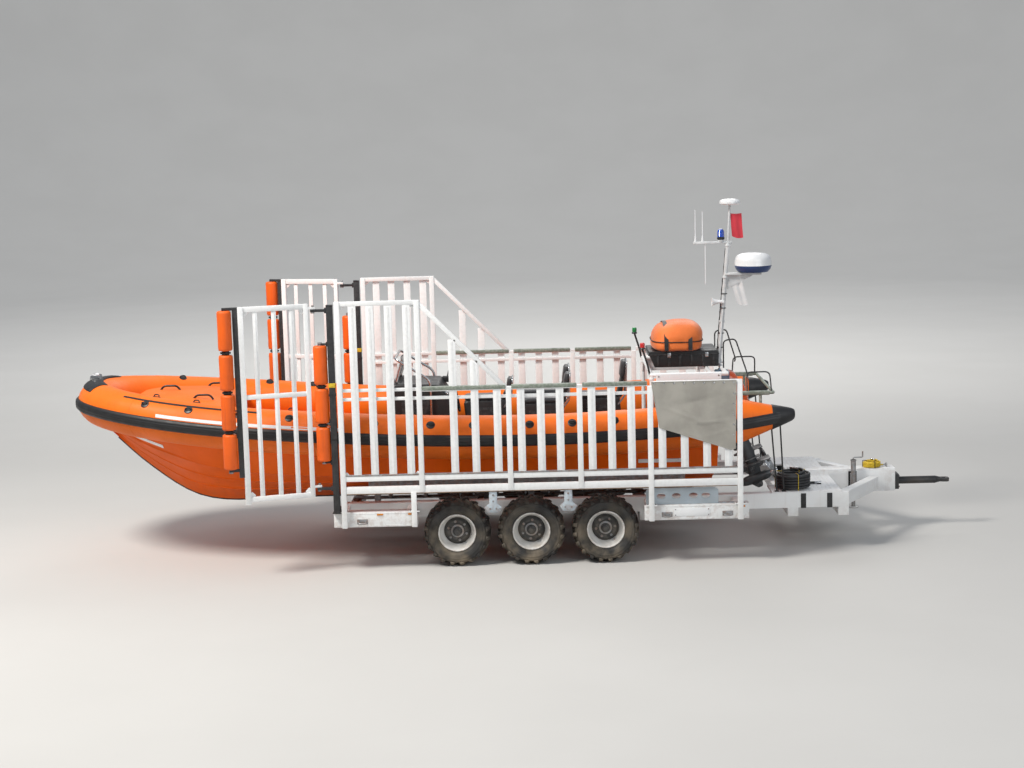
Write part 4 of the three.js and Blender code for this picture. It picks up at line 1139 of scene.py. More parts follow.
class RESCUE_OT_foredeck(bpy.types.Operator):
    """Raised foredeck moulding with its handle straps, and the non-slip sole"""
    bl_idname = "rescue.foredeck"
    bl_label = "Foredeck and sole"

    def execute(self, context):
        tops = ((-4.56, 1.86), (-4.2, 1.9), (-3.7, 1.88), (-3.25, 1.8))

        def top(x):
            x = max(tops[0][0], min(tops[-1][0], x))
            for (x0, z0), (x1, z1) in zip(tops, tops[1:]):
                if x <= x1:
                    return z0 + (z1 - z0) * (x - x0) / (x1 - x0)
            return tops[-1][1]

        def foot(x):
            """Half-breadth and height of the lower edge, on the tubes."""
            return max(0.08, tube_half(x) - 0.1), 1.505 - (x + 2.9) * 0.205 / 1.95

        def crown(t):
            """Share of the height, from 1 in the middle to 0 at the edges."""
            return (1 - abs(t) ** 3) ** (1 / 2.5) if abs(t) < 1 else 0.0

        def point(u, w):
            x = tops[0][0] + (tops[-1][0] - tops[0][0]) * u
            edge, low = foot(x)
            ends = min(1.0, 0.35 + 8 * min(u, 1 - u))
            t = 2 * w - 1
            return Vector((x, edge * t, low + (top(x) - low) * crown(t) * ends))
        cover = surface("foredeck_moulding", 26, 30, point)
        put(painted(subdivided(cover), "tube"), "tube_orange", "foredeck_cover")
        straps = []
        for x, y in ((-3.62, -0.5), (-3.62, 0.5), (-4.1, 0.0)):
            edge, low = foot(x)
            z = low + (top(x) - low) * crown(y / edge)
            path = bent([(x - 0.12, y, z - 0.01), (x - 0.08, y, z + 0.045), (x + 0.08, y, z + 0.045),
                         (x + 0.12, y, z - 0.01)], 0.04)
            straps.append(pipe("strap", path, 0.012, 4))
        straps = painted(joined("deck_handles", *straps), "rubber")
        put(straps, "black_rubber")
        painted(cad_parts["cockpit_sole"], "non_slip")
        return {"FINISHED"}


def eased(node, name, width):
    """Copy of a CAD node as one welded piece, its edges rounded."""
    obj = added(name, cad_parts[node].data.copy())
    obj.data.name = name
    edit(obj)
    bpy.ops.mesh.remove_doubles(threshold=0.00005)
    bpy.ops.mesh.dissolve_limited(angle_limit=radians(1))
    bpy.ops.object.mode_set(mode="OBJECT")
    rounded(obj, width, angle=30)
    return smoothed(obj, 40)


def bolt_heads(name, places, axis, radius=0.011, height=0.009):
    """Hexagon bolt heads with washers, standing out along axis from their places."""
    on = Vector(axis)
    items = []
    for place in places:
        foot = Vector(place)
        items.append((foot - on * 0.002, foot + on * 0.0025, radius * 1.5))
        items.append((foot, foot + on * height, radius))
    return painted(rods(name, items, 6), "galvanised")


class RESCUE_OT_wheels(bpy.types.Operator):
    """Six balloon tyres with bar lugs on deep white wheels, and their nuts and hubs"""
    bl_idname = "rescue.wheels"
    bl_label = "Wheels"

    def execute(self, context):
        tyre = self.tyre(context.scene.boat_sizes.tread_lugs)
        wheel = self.wheel()
        hub = self.hub()
        for number, x in enumerate(AXLES_X, 1):
            for side, sign in (("port", -1), ("starboard", 1)):
                turn = Matrix.Rotation(pi / 10 * number, 4, "Y")
                place = Matrix.Translation((x, sign * WHEEL_Y, WHEEL_R)) @ turn
                if sign > 0:
                    place = place @ MIRROR
                body = f"wheel_{side}_{number}"
                put(copied(tyre, f"tread_{side}_{number}", place), "tyre", f"tyre_{side}_{number}", body=body)
                put(copied(wheel, f"wheel_disc_{side}_{number}", place), "rim_white", f"rim_{side}_{number}",
                    body=body)
                put(copied(hub, f"hub_{side}_{number}", place), "grey_steel", body=body)
        discard(tyre, wheel, hub)
        return {"FINISHED"}

    def tyre(self, count):
        """Carcass with two rows of slanting lugs, half a pitch apart."""
        half = [(RIM_R, 0.124), (0.224, 0.131), (0.236, 0.15), (0.25, 0.164), (0.258, 0.165), (0.262, 0.171),
                (0.288, 0.1775), (0.294, 0.174), (0.318, 0.1735), (0.324, 0.168), (0.338, 0.15),
                (0.349, 0.125), (0.3545, 0.08), (0.356, 0.03)]
        profile = both_halves(half) + [(RIM_R, -0.06), (RIM_R, 0.06)]
        carcass = turned("carcass", profile, along_y(0, 0, 0), 56, 40)

        def lug_point(u, w):
            across = 0.004 + 0.17 * u
            drop = max(0.0, (across - 0.11) / 0.064)
            top = WHEEL_R - 0.032 * drop ** 2
            low = 0.348 - 0.02 * drop ** 2
            corner = round(w * 4) % 4
            radius = (low, top, top, low)[corner]
            wide = (-0.021, -0.0145, 0.0145, 0.021)[corner]
            turn = 0.19 * u + 0.05 * sin(pi * u) + wide * (1 + 0.3 * u) / radius
            return Vector((radius * sin(turn), -across, radius * cos(turn)))
        lug = surface("lug", 5, 4, lug_point)
        rounded(lug, 0.0035, 1, 45)
        twin = copied(lug, "lug_inner", MIRROR)
        lugs = []
        for i in range(count):
            for master, shift in ((lug, 0.0), (twin, 0.5)):
                lugs.append(copied(master, "lug", Matrix.Rotation(2 * pi * (i + shift) / count, 4, "Y")))
        discard(lug, twin)
        blocks = smoothed(joined("lugs", *lugs), 50)
        rim_guard = turned("sidewall_ribs", [(0.27, -0.168), (0.2745, -0.1795), (0.281, -0.1795),
                                             (0.285, -0.17)], along_y(0, 0, 0) @ MIRROR, 56)
        return painted(joined("tyre", carcass, blocks, rim_guard), "tyre")

    def wheel(self):
        seat = RIM_R - 0.0004
        barrel = [(0.2, 0.131), (0.2035, 0.134), (0.21, 0.1345), (seat, 0.13), (seat, 0.123), (seat, -0.123),
                  (seat, -0.13), (0.21, -0.1345), (0.2035, -0.134), (0.2, -0.131), (0.198, -0.09),
                  (0.197, -0.045), (0.168, -0.034), (0.154, -0.02), (0.1545, -0.008), (0.166, 0.02),
                  (0.183, 0.06), (0.194, 0.1)]
        shell = turned("barrel", barrel, along_y(0, 0, 0), 64, 45)
        disc = [(0.088, 0.012), (0.122, 0.012), (0.13, 0.008), (0.143, -0.007), (0.156, -0.009),
                (0.156, -0.018), (0.14, -0.018), (0.128, -0.003), (0.12, 0.002), (0.088, 0.002)]
        # the disc is painted dark, painted shade inside the deep dish
        plate_disc = painted(turned("disc", disc, along_y(0, 0, 0), 64, 45), "wheel_disc")
        lip = turned("lock_ring", [(0.1995, 0.116), (0.2035, 0.1215), (0.2085, 0.116), (0.2035, 0.1105)],
                     along_y(0, 0, 0), 64, 60)
        valve = rods("valve", [((0.161, -0.012, 0.0), (0.166, -0.052, 0.0), 0.005)], 10)
        return joined("wheel", painted(joined("barrel", shell, lip, valve), "rim"), plate_disc)

    def hub(self):
        drum = [(0.0, 0.098), (0.026, 0.098), (0.03, 0.094), (0.033, 0.062), (0.047, 0.056), (0.052, 0.05),
                (0.056, 0.024), (0.084, 0.018), (0.087, 0.012), (0.087, -0.1), (0.03, -0.105), (0.0, -0.105)]
        middle = turned("drum", drum, along_y(0, 0, 0), 40, 35)
        nuts = []
        for i in range(6):
            turn = 2 * pi * i / 6
            foot = Vector((0.108 * cos(turn), -0.011, 0.108 * sin(turn)))
            out = Vector((0, -1, 0))
            nuts += [(foot, foot + out * 0.004, 0.016), (foot, foot + out * 0.018, 0.0115),
                     (foot, foot + out * 0.026, 0.006)]
        studs = rods("nuts", nuts, 6)
        face = turned("hub_face", [(0.05, 0.028), (0.053, 0.0305), (0.071, 0.0265), (0.0745, 0.0235),
                                   (0.0745, 0.016), (0.05, 0.016)], along_y(0, 0, 0), 40, 35)
        bright = painted(joined("bright", studs, face), "galvanised")
        # the hub drum takes the same dark paint, painted shade in the dish
        return joined("hub", painted(middle, "wheel_disc"), bright)


CAGE_BAYS = (
    # slat places as parts of the bay between two posts, top of the slats
    ((0.19, 0.41, 0.64, 0.87), CAGE_TALL_Z),
    ((0.38, 0.62, 0.87), CAGE_LOW_Z),
    ((0.17, 0.45, 0.72), CAGE_LOW_Z),
    ((0.17, 0.45, 0.73), CAGE_LOW_Z),
    ((0.13, 0.38, 0.63, 0.87), CAGE_LOW_Z),
)
SLOPE_END_X = -0.04


def between_posts(first, last):
    """Ends of a rail that runs between two of the cage's posts."""
    return CAGE_POSTS_X[first] + CAGE_HALF, CAGE_POSTS_X[last] - CAGE_HALF


class RESCUE_OT_cages(bpy.types.Operator):
    """Slatted side cages with their rails, capping, feet and pale brackets"""
    bl_idname = "rescue.cages"
    bl_label = "Side cages"

    def execute(self, context):
        radius = context.scene.boat_sizes.edge_radius
        node = "side_cage_{side}"
        on_both_sides(self.frame_bars(radius), "cage_frame", "white_alloy", node)
        on_both_sides(self.slats(), "cage_slats", "white_alloy", node)
        on_both_sides(self.capping(), "cage_capping", "white_alloy", node)
        on_both_sides(self.brackets(), "cage_brackets", "white_alloy", node)
        on_both_sides(self.fixings(), "cage_fixings", "grey_steel")
        return {"FINISHED"}

    def frame_bars(self, radius):
        inner, outer = -CAGE_Y + CAGE_HALF, -CAGE_Y - CAGE_HALF
        boxes = []
        stub_x, stub_z = CAGE_FEET_X[1], 0.9
        tops = (CAGE_TALL_Z, CAGE_TALL_Z, 2.03, 2.03, 2.03, CAGE_LOW_Z)
        posts = [(x, BEAM_LOW if x in CAGE_FEET_X else stub_z, top) for x, top in zip(CAGE_POSTS_X, tops)]
        for x, low, high in (*posts, (stub_x, BEAM_LOW, stub_z)):
            boxes.append(((x - CAGE_HALF, outer, low), (x + CAGE_HALF, inner, high)))
            if low == BEAM_LOW:
                boxes.append(((x - 0.06, outer + 0.002, 0.672), (x + 0.06, inner - 0.002, 0.684)))
        out, back = outer + 0.008, inner - 0.008
        # columns: post at each end, lower edge, upper edge
        for first, last, low, high in ((0, 1, CAGE_TALL_Z - 0.05, CAGE_TALL_Z),
                                       (1, 4, CAGE_LOW_Z - 0.05, CAGE_LOW_Z - 0.014),
                                       (4, 5, CAGE_LOW_Z - 0.05, CAGE_LOW_Z),
                                       (0, 5, CAGE_SILL_Z - 0.03, CAGE_SILL_Z + 0.03),
                                       (0, 5, CAGE_TUBE_Z - 0.04, CAGE_TUBE_Z + 0.04)):
            x0, x1 = between_posts(first, last)
            boxes.append(((x0, out, low), (x1, back, high)))
        for last, low, high in ((4, 1.937, 1.973), (1, 2.037, 2.073)):
            x0, x1 = between_posts(0, last)
            boxes.append(((x0, inner - 0.03, low), (x1, inner - 0.004, high)))
        start, end = Vector((-1.0, -CAGE_Y, 3.018)), Vector((SLOPE_END_X - 0.01, -CAGE_Y, 2.048))
        slope = atan2(start.z - end.z, end.x - start.x)
        turns = [((start + end) / 2, ((end - start).length, 0.04, 0.05), (0, slope, 0))]
        for x, sign in zip(between_posts(0, 1), (1, -1)):
            for z, lift in ((1.09, 1), (3.0, -1)):
                middle = (x + sign * 0.012, -CAGE_Y, z + lift * 0.012)
                turns.append((middle, (0.05, 0.006, 0.05), (0, radians(45), 0)))
        frame_piece = bars("cage_frame", boxes, radius, 2, turns)
        return painted(frame_piece, "alloy")

    def slats(self):
        boxes = []
        outer = -CAGE_Y - CAGE_HALF
        half = 0.043
        slope_x = CAGE_POSTS_X[1]
        for left, right, (parts, top) in zip(CAGE_POSTS_X, CAGE_POSTS_X[1:], CAGE_BAYS):
            for part in parts:
                x = left + (right - left) * part
                high = top - 0.047
                if slope_x < x < -0.3:
                    rise = (SLOPE_END_X - x - half) * (CAGE_TALL_Z - CAGE_LOW_Z) / (SLOPE_END_X - slope_x)
                    high = CAGE_LOW_Z + rise - 0.03
                boxes.append(((x - half, outer + 0.01, CAGE_SILL_Z + 0.028), (x + half, outer + 0.026, high)))
        slats = bars("cage_slats", boxes, 0.003, 2)
        ridges = [((x - 0.012, outer + 0.0075, z0 + 0.02), (x + 0.012, outer + 0.012, z1 - 0.02))
                  for (x0, _, z0), (x1, _, z1) in boxes for x in [(x0 + x1) / 2]]
        return painted(joined("cage_slats", slats, bars("ridges", ridges, 0.0015, 1)), "alloy")

    def capping(self):
        high = [((x0, -CAGE_Y - 0.032, CAGE_LOW_Z - 0.04), (x1, -CAGE_Y + 0.032, CAGE_LOW_Z + 0.004))
                for x0, x1 in ((-0.983, -0.052), (0.01, 0.734), (0.796, 1.516))]
        rail = painted(bars("hand_rail", high, 0.01, 3), "capping")
        ends = [between_posts(i, i + 1) for i in range(5)]
        band = [((x0, -CAGE_Y - 0.026, CAGE_SILL_Z + 0.03), (x1, -CAGE_Y + 0.016, CAGE_SILL_Z + 0.046))
                for x0, x1 in ends]
        strip = painted(bars("sill_band", band, 0.002, 1), "galvanised")
        # brown strip just under the lower rail, painted shadow of the rail
        shadow_box = [((-1.86, -CAGE_Y - 0.0255, CAGE_TUBE_Z - 0.047), (2.5, -CAGE_Y + 0.02, CAGE_TUBE_Z - 0.039))]
        rubbing = painted(bars("rubbing_strip", shadow_box, 0.002, 1), "rail_shadow_brown")
        return joined("cage_capping", rail, strip, rubbing)

    def brackets(self):
        made = []
        for x in CAGE_BRACKETS_X:
            outline = [(x - 0.045, 0.93), (x - 0.045, 0.74), (x - 0.1, 0.7), (x - 0.06, 0.64),
                       (x + 0.06, 0.64), (x + 0.1, 0.7), (x + 0.045, 0.74), (x + 0.045, 0.93)]
            made.append(plate("bracket", outline, -CAGE_Y - 0.01, -CAGE_Y + 0.01, 0.004))
            face = [(x - 0.03, 0.885), (x - 0.03, 0.745), (x - 0.074, 0.7), (x - 0.048, 0.655),
                    (x + 0.048, 0.655), (x + 0.074, 0.7), (x + 0.03, 0.745), (x + 0.03, 0.885)]
            made.append(plate("flange", face, -CAGE_Y - 0.0165, -CAGE_Y - 0.0095, 0.003))
        return painted(joined("cage_brackets", *made), "pale_steel")

    def fixings(self):
        places = [(x + dx, -CAGE_Y - 0.012, 0.684) for x in CAGE_FEET_X for dx in (-0.045, 0.045)]
        tops = bolt_heads("cage_feet_bolts", places, (0, 0, 1), 0.009, 0.008)
        faces = [(x + dx, -CAGE_Y - 0.0165, z) for x in CAGE_BRACKETS_X for dx, z in
                 ((-0.035, 0.685), (0.035, 0.685), (0.0, 0.84), (0.0, 0.77))]
        fronts = bolt_heads("cage_bracket_bolts", faces, (0, -1, 0), 0.008, 0.007)
        stubs = []
        for x in (-0.59, -0.44, 0.14, 0.4):
            stubs.append(((x, -CAGE_Y + 0.006, CAGE_TUBE_Z - 0.04), (x, -CAGE_Y + 0.006, CAGE_TUBE_Z - 0.085),
                          0.014, 0.011))
            stubs.append(((x, -CAGE_Y + 0.006, CAGE_TUBE_Z - 0.038),
                          (x, -CAGE_Y + 0.006, CAGE_TUBE_Z - 0.052), 0.02))
        ends = painted(rods("drain_stubs", stubs, 14, 0.001), "dark_steel")
        return joined("cage_fixings", tops, fronts, ends)


def roller_sleeves(name, x, y, low, high, count):
    """Foam sleeves on one tube, each pulled in at its ends, with dark washers in the gaps."""
    pitch = (high - low) / count
    radius, gap = 0.078, 0.045
    made = []
    for i in range(count):
        foot, top = low + pitch * i, low + pitch * (i + 1) - (gap if i + 1 < count else 0)
        profile = [(0.024, foot), (radius - 0.03, foot), (radius - 0.012, foot + 0.003),
                   (radius - 0.003, foot + 0.012), (radius, foot + 0.03), (radius - 0.0015, (foot + top) / 2),
                   (radius, top - 0.03), (radius - 0.003, top - 0.012), (radius - 0.012, top - 0.003),
                   (radius - 0.03, top), (0.024, top)]
        made.append(turned("sleeve", profile, upright(x, y, 0), 40, 40))
    foam = painted(joined(name, *made), "roller")
    gaps = [low + pitch * (i + 1) - gap for i in range(count - 1)]
    rings = [((x, y, z + 0.002), (x, y, z + gap - 0.002), 0.04) for z in gaps]
    rings += [((x, y, z + 0.014), (x, y, z + 0.031), 0.058) for z in gaps]
    return foam, painted(rods(name + "_washers", rings, 28, 0.002), "rubber")


class RESCUE_OT_gate_posts(bpy.types.Operator):
    """Dark posts with hinge arms and the fixed guide rollers"""
    bl_idname = "rescue.gate_posts"
    bl_label = "Gate posts"

    def execute(self, context):
        x, y = POST_X, -CAGE_Y
        boxes = [((x - 0.035, y - 0.035, BEAM_TOP), (x + 0.035, y + 0.035, 3.01)),
                 ((x - 0.05, y - 0.034, BEAM_TOP), (x + 0.05, -1.47, BEAM_TOP + 0.014)),
                 ((x - 0.034, y - 0.034, BEAM_TOP), (x + 0.034, -1.47, BEAM_TOP + 0.06))]
        for z in HINGE_HEIGHTS:
            boxes.append(((HINGE.x - 0.025, y - 0.025, z - 0.015), (x, y + 0.025, z + 0.015)))
            boxes.append(((x - 0.055, y - 0.03, z - 0.03), (x - 0.033, y + 0.03, z + 0.03)))
        for z in (1.255, 2.585):
            boxes.append(((GUIDE_X - 0.02, y - 0.02, z - 0.01), (x, y + 0.02, z + 0.01)))
            boxes.append(((x - 0.05, y - 0.026, z - 0.025), (x - 0.033, y + 0.026, z + 0.025)))
        post = painted(bars("gate_post", boxes, 0.004), "dark_steel")
        pins = [((HINGE.x, y, z + 0.01), (HINGE.x, y, z + 0.06), 0.0138) for z in HINGE_HEIGHTS]
        pins += [((HINGE.x, y, z - 0.03), (HINGE.x, y, z + 0.01), 0.022) for z in HINGE_HEIGHTS]
        for low, high, radius in ((1.257, 2.583, 0.0215), (2.585, 2.606, 0.026), (1.24, 1.255, 0.026)):
            pins.append(((GUIDE_X, y, low), (GUIDE_X, y, high), radius))
        pins = painted(rods("post_pins", pins, 20, 0.0015), "galvanised")
        cap = painted(bars("post_cap", [((x - 0.037, y - 0.037, 3.002), (x + 0.037, y + 0.037, 3.02))],
                           0.005), "rubber")
        straps = []
        for z, wide, look in ((2.1, 0.05, "yellow"), (2.0, 0.03, "rubber"), (1.5, 0.03, "rubber")):
            band = [((x - 0.0375, y - 0.0375, z), (x + 0.0375, y + 0.0375, z + wide))]
            straps.append(painted(bars("band", band, 0.003), look))
        post = joined("gate_post", post, pins, cap, *straps)
        on_both_sides(post, "post", "dark_steel", "gate_post_{side}")
        foam, washers = roller_sleeves("guide_sleeves", GUIDE_X, y, 1.27, 2.57, 3)
        for piece in on_both_sides(foam, "guide_sleeves", "foam_orange", "guide_roller_{side}"):
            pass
        on_both_sides(washers, "guide_washers", "foam_orange", "guide_roller_{side}")
        return {"FINISHED"}


class RESCUE_OT_gates(bpy.types.Operator):
    """Wing gates with slats and long guide rollers, swung out from the posts"""
    bl_idname = "rescue.gates"
    bl_label = "Wing gates"

    def execute(self, context):
        far = -0.83
        top, low = 3.04, 0.9
        boxes = [((-0.105, -0.025, low - 0.03), (-0.055, 0.025, top)),
                 ((far, -0.03, low - 0.06), (far + 0.06, 0.03, top))]
        for z0, z1 in ((top - 0.06, top), (2.015, 2.065), (low - 0.03, low + 0.025)):
            boxes.append(((far + 0.05, -0.02, z0), (-0.09, 0.02, z1)))
        for z in HINGE_HEIGHTS:
            boxes.append(((-0.08, -0.024, z + 0.0153), (0.024, 0.024, z + 0.04)))
        turns = []
        for z in (low + 0.04, top - 0.075):
            for x in (far + 0.075, -0.12):
                turns.append(((x, 0, z), (0.06, 0.006, 0.06), (0, radians(45), 0)))
        stiles = painted(bars("gate_frame", boxes, 0.004, 2, turns), "alloy")
        slats = []
        for x in (-0.24, -0.435, -0.64):
            slats.append(((x - 0.026, -0.015, low + 0.022), (x + 0.026, 0.003, 2.018)))
            slats.append(((x - 0.026, -0.015, 2.062), (x + 0.026, 0.003, top - 0.057)))
        slats += [((x0 + 0.017, -0.0175, z0 + 0.02), (x1 - 0.017, -0.013, z1 - 0.02))
                  for (x0, _, z0), (x1, _, z1) in slats]
        slats = painted(bars("gate_slats", slats, 0.0025), "alloy")
        x = far - 0.145
        arms = [((x - 0.022, -0.022, z - 0.015), (far + 0.01, 0.022, z + 0.015)) for z in (1.235, 3.025)]
        arms.append(((far - 0.055, -0.02, 1.15), (far + 0.004, 0.02, top)))
        arms = painted(bars("roller_arms", arms, 0.003), "dark_steel")
        core = [((x, 0, 1.237), (x, 0, 3.023), 0.0215), ((x, 0, 1.206), (x, 0, 1.222), 0.026)]
        core = painted(rods("roller_core", core, 20, 0.0015), "galvanised")
        barrels = [((0, 0, z + 0.0156), (0, 0, z + 0.0398), 0.0235) for z in HINGE_HEIGHTS]
        barrels = painted(rods("hinge_barrels", barrels, 18, 0.001), "galvanised")
        gate = joined("gate", stiles, slats, arms, core, barrels)
        place = Matrix.Translation(HINGE) @ Matrix.Rotation(GATE_ANGLE, 4, "Z")
        moved(gate, place)
        body = "gate_{side}"
        on_both_sides(gate, "gate", "white_alloy", "wing_gate_{side}", body=body)
        foam, washers = roller_sleeves("gate_sleeves", x, 0, 1.251, 3.009, 4)
        moved(foam, place)
        moved(washers, place)
        for piece in on_both_sides(foam, "gate_sleeves", "foam_orange", "gate_roller_{side}", body=body):
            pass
        on_both_sides(washers, "gate_washers", "foam_orange", "gate_roller_{side}", body=body)
        return {"FINISHED"}


class RESCUE_OT_chassis(bpy.types.Operator):
    """Welded beams, deck plate and neck, with their tie points, reflectors, straps and pierced panel"""
    bl_idname = "rescue.chassis"
    bl_label = "Chassis"

    def execute(self, context):
        steel = painted(eased("chassis_frame", "chassis_beams", 0.006), "steel")
        put(steel, "white_steel", "chassis_frame")
        self.deck_plate()
        self.side_details()
        self.neck_details()
        axles = []
        for number in (1, 2, 3):
            axle = painted(eased(f"axle_{number}", f"axle_beam_{number}", 0.004), "galvanised")
            put(axle, "grey_steel", f"axle_{number}")
            for spring_y in (-1.02, 1.02):
                for dx in (-0.062, 0.062):
                    for dy in (-0.055, 0.055):
                        x, y = AXLES_X[number - 1] + dx, spring_y + dy
                        axles.append(((x, y, 0.432), (x, y, BEAM_LOW), 0.008))
        put(painted(rods("axle_clamp_rods", axles, 10), "galvanised"), "grey_steel")
        cradle = painted(eased("cradle", "cradle_frame", 0.003), "galvanised")
        put(cradle, "grey_steel", "cradle")
        drawbar = painted(eased("drawbar", "drawbar_tube", 0.004), "dark_steel")
        put(drawbar, "dark_steel", "drawbar")
        collar = bolt_heads("drawbar_bolts", [(4.6105, y, z) for y in (-0.068, 0.068) for z in (0.51, 0.64)],
                            (1, 0, 0), 0.012, 0.012)
        put(collar, "dark_steel")
        return {"FINISHED"}

    def deck_plate(self):
        """Raised bars of the chequered deck, and its edge."""
        bar = bars("tread_bar", [((-0.014, -0.003, -0.0005), (0.014, 0.003, 0.0018))], 0.0008, 1)
        made = []
        rows = 0
        x = 3.34
        while x < 3.74:
            y = -1.05 + (0.03 if rows % 2 else 0.0)
            while y < 1.06:
                clear_of_coil = hypot(x - HOSE_PLACE[0], y - HOSE_PLACE[1]) >= 0.24
                if clear_of_coil and hypot(x - 3.54, y + 0.66) > 0.09:
                    spin = radians(45 if round((y + 1.05) / 0.06 + rows) % 2 else -45)
                    place = Matrix.Translation((x, y, DECK_TOP)) @ Matrix.Rotation(spin, 4, "Z")
                    made.append(copied(bar, "tread", place))
                y += 0.06
            x += 0.045
            rows += 1
        discard(bar)
        tread = painted(joined("deck_tread", *made), "steel")
        put(tread, "white_steel")

    def side_details(self):
        outline = [(1.49, 0.672), (2.3, 0.672), (2.3, 0.83), (2.26, 0.856), (1.53, 0.856), (1.49, 0.83)]
        holes = [oval(x, 0.765, 0.05, 0.032) for x in (1.66, 1.83, 2.02, 2.16)]
        panel = painted(pierced_plate("pierced_panel", outline, holes, -1.527, -1.519), "pale_steel")
        foot = painted(bars("panel_foot", [((1.6, -1.5245, 0.671), (2.48, -1.488, 0.677))], 0.001),
                       "pale_steel")
        on_both_sides(joined("pierced_panel", panel, foot), "pierced_panel", "white_steel")
        straps = [((x - 0.03, -1.086, 0.4935), (x + 0.03, -0.954, 0.6645)) for x in (3.32, 3.62)]
        straps = painted(bars("beam_straps", straps, 0.004), "rubber")
        on_both_sides(straps, "beam_straps", "dark_steel")
        eyes = []
        for x in (-1.7, 1.72, 2.4):
            path = bent([(x - 0.04, BEAM_FACE_Y - 0.002, 0.56), (x - 0.04, BEAM_FACE_Y - 0.04, 0.545),
                         (x + 0.04, BEAM_FACE_Y - 0.04, 0.545), (x + 0.04, BEAM_FACE_Y - 0.002, 0.56)], 0.018)
            eyes.append(pipe("eye", path, 0.008, 4))
            pad = ((x - 0.06, BEAM_FACE_Y - 0.0055, 0.535), (x + 0.06, BEAM_FACE_Y + 0.001, 0.59))
            eyes.append(bars("pad", [pad], 0.002))
        eyes = painted(joined("lashing_eyes", *eyes), "galvanised")
        on_both_sides(eyes, "lashing_eyes", "grey_steel")
        boxes = []
        for x0, x1 in ((-2.0, -1.1), (1.49, 2.62)):
            for z in (0.512, 0.648):
                boxes.append(((x0, BEAM_FACE_Y - 0.0025, z), (x1, BEAM_FACE_Y + 0.0015, z + 0.01)))
        ribs = painted(bars("beam_weld_strips", boxes, 0.001, 1), "steel")
        on_both_sides(ribs, "beam_weld_strips", "white_steel")
        face, back = BEAM_FACE_Y - 0.0045, BEAM_FACE_Y + 0.0005
        blank = painted(bars("blank_plate", [((1.8, face, 0.54), (2.2, back, 0.63))], 0.0015), "dome")
        bolts = bolt_heads("plate_bolts", [(x, face, z) for x in (1.815, 2.185) for z in (0.553, 0.617)],
                           (0, -1, 0), 0.005, 0.003)
        on_both_sides(joined("blank_plate", blank, bolts), "blank_plate", "white_steel")
        reflectors = [((x - 0.035, BEAM_FACE_Y - 0.006, 0.63), (x + 0.035, back, 0.65))
                      for x in (-1.5, -1.15, 2.56)]
        reflectors = painted(bars("reflectors", reflectors, 0.002), "amber")
        on_both_sides(reflectors, "reflectors", "white_steel")

    def neck_details(self):
        x, y = JACK_PLACE
        tubes = [((x, y, low), (x, y, high), radius) for low, high, radius in
                 ((0.42, 0.86, 0.03), (0.3, 0.42, 0.023), (0.86, 0.872, 0.036))]
        jack = painted(rods("jack_tube", tubes, 24, 0.002), "galvanised")
        clamp = painted(bars("jack_clamp", [((4.02, -0.15, 0.56), (4.08, -0.109, 0.7)),
                                            ((4.0, -0.1135, 0.54), (4.1, -0.1085, 0.72))], 0.004),
                        "dark_steel")
        path = bent([(x, y, 0.868), (x, y, 0.9), (x + 0.11, y, 0.9), (x + 0.11, y, 0.97)], 0.015)
        crank = painted(pipe("jack_crank", path, 0.008, 4), "galvanised")
        foot = painted(turned("jack_foot", [(0, 0.292), (0.055, 0.292), (0.06, 0.296), (0.05, 0.302),
                                            (0.02, 0.308), (0, 0.308)], upright(x, y, 0), 28), "galvanised")
        put(joined("jack", jack, clamp, crank, foot), "grey_steel")
        x = 4.475
        path = bent([(x, -0.03, 0.744), (x, -0.03, 0.79), (x, 0.03, 0.79), (x, 0.03, 0.744)], 0.025)
        eye = painted(pipe("line_eye", path, 0.007, 4), "galvanised")
        put(eye, "grey_steel")
        gussets = []
        for sign in (-1, 1):
            gussets.append(plate("gusset", [(3.305, 0.69), (3.305, 0.735), (3.36, 0.735), (3.46, 0.69)],
                                 sign * 0.118 - 0.004, sign * 0.118 + 0.004, 0.002))
        put(painted(joined("neck_gussets", *gussets), "steel"), "white_steel")


def puffed(obj, voxel, pressure, cap):
    """Swells a closed form like stuffed cloth, moving no point further than cap, and smooths it."""
    frames = 18
    modified(obj, "REMESH", mode="VOXEL", voxel_size=voxel)
    before = [vertex.co.copy() for vertex in obj.data.vertices]
    cloth = obj.modifiers.new("cloth", "CLOTH")
    settings = cloth.settings
    settings.quality = 5
    settings.mass = 0.3
    settings.tension_stiffness = 12
    settings.bending_stiffness = 0.6
    settings.use_pressure = True
    settings.uniform_pressure_force = pressure
    settings.effector_weights.gravity = 0
    cloth.point_cache.frame_start = 1
    cloth.point_cache.frame_end = frames
    scene = bpy.context.scene
    for number in range(1, frames + 1):
        scene.frame_set(number)
    only(obj)
    bpy.ops.object.modifier_apply(modifier=cloth.name)
    scene.frame_set(1)
    for vertex, start in zip(obj.data.vertices, before):
        step = vertex.co - start
        if step.length > cap:
            vertex.co = start + step * (cap / step.length)
    modified(obj, "SMOOTH", factor=0.5, iterations=4)
    return subdivided(obj)


def squircle(turn, power):
    """Point on a rounded square of half-size 1."""
    c, s = cos(turn), sin(turn)
    return abs(c) ** (2 / power) * (1 if c >= 0 else -1), abs(s) ** (2 / power) * (1 if s >= 0 else -1)


def lofted(name, rings, around, power, angle=40):
    """Closed form through level rings: rows of (x low, x high, half-width, height)."""
    last = len(rings) - 1

    def point(u, w):
        x0, x1, half, z = rings[round(u * last)]
        a, b = squircle(2 * pi * w, power)
        return Vector(((x0 + x1) / 2 + a * (x1 - x0) / 2, b * half, z))
    return smoothed(surface(name, last, around, point), angle)


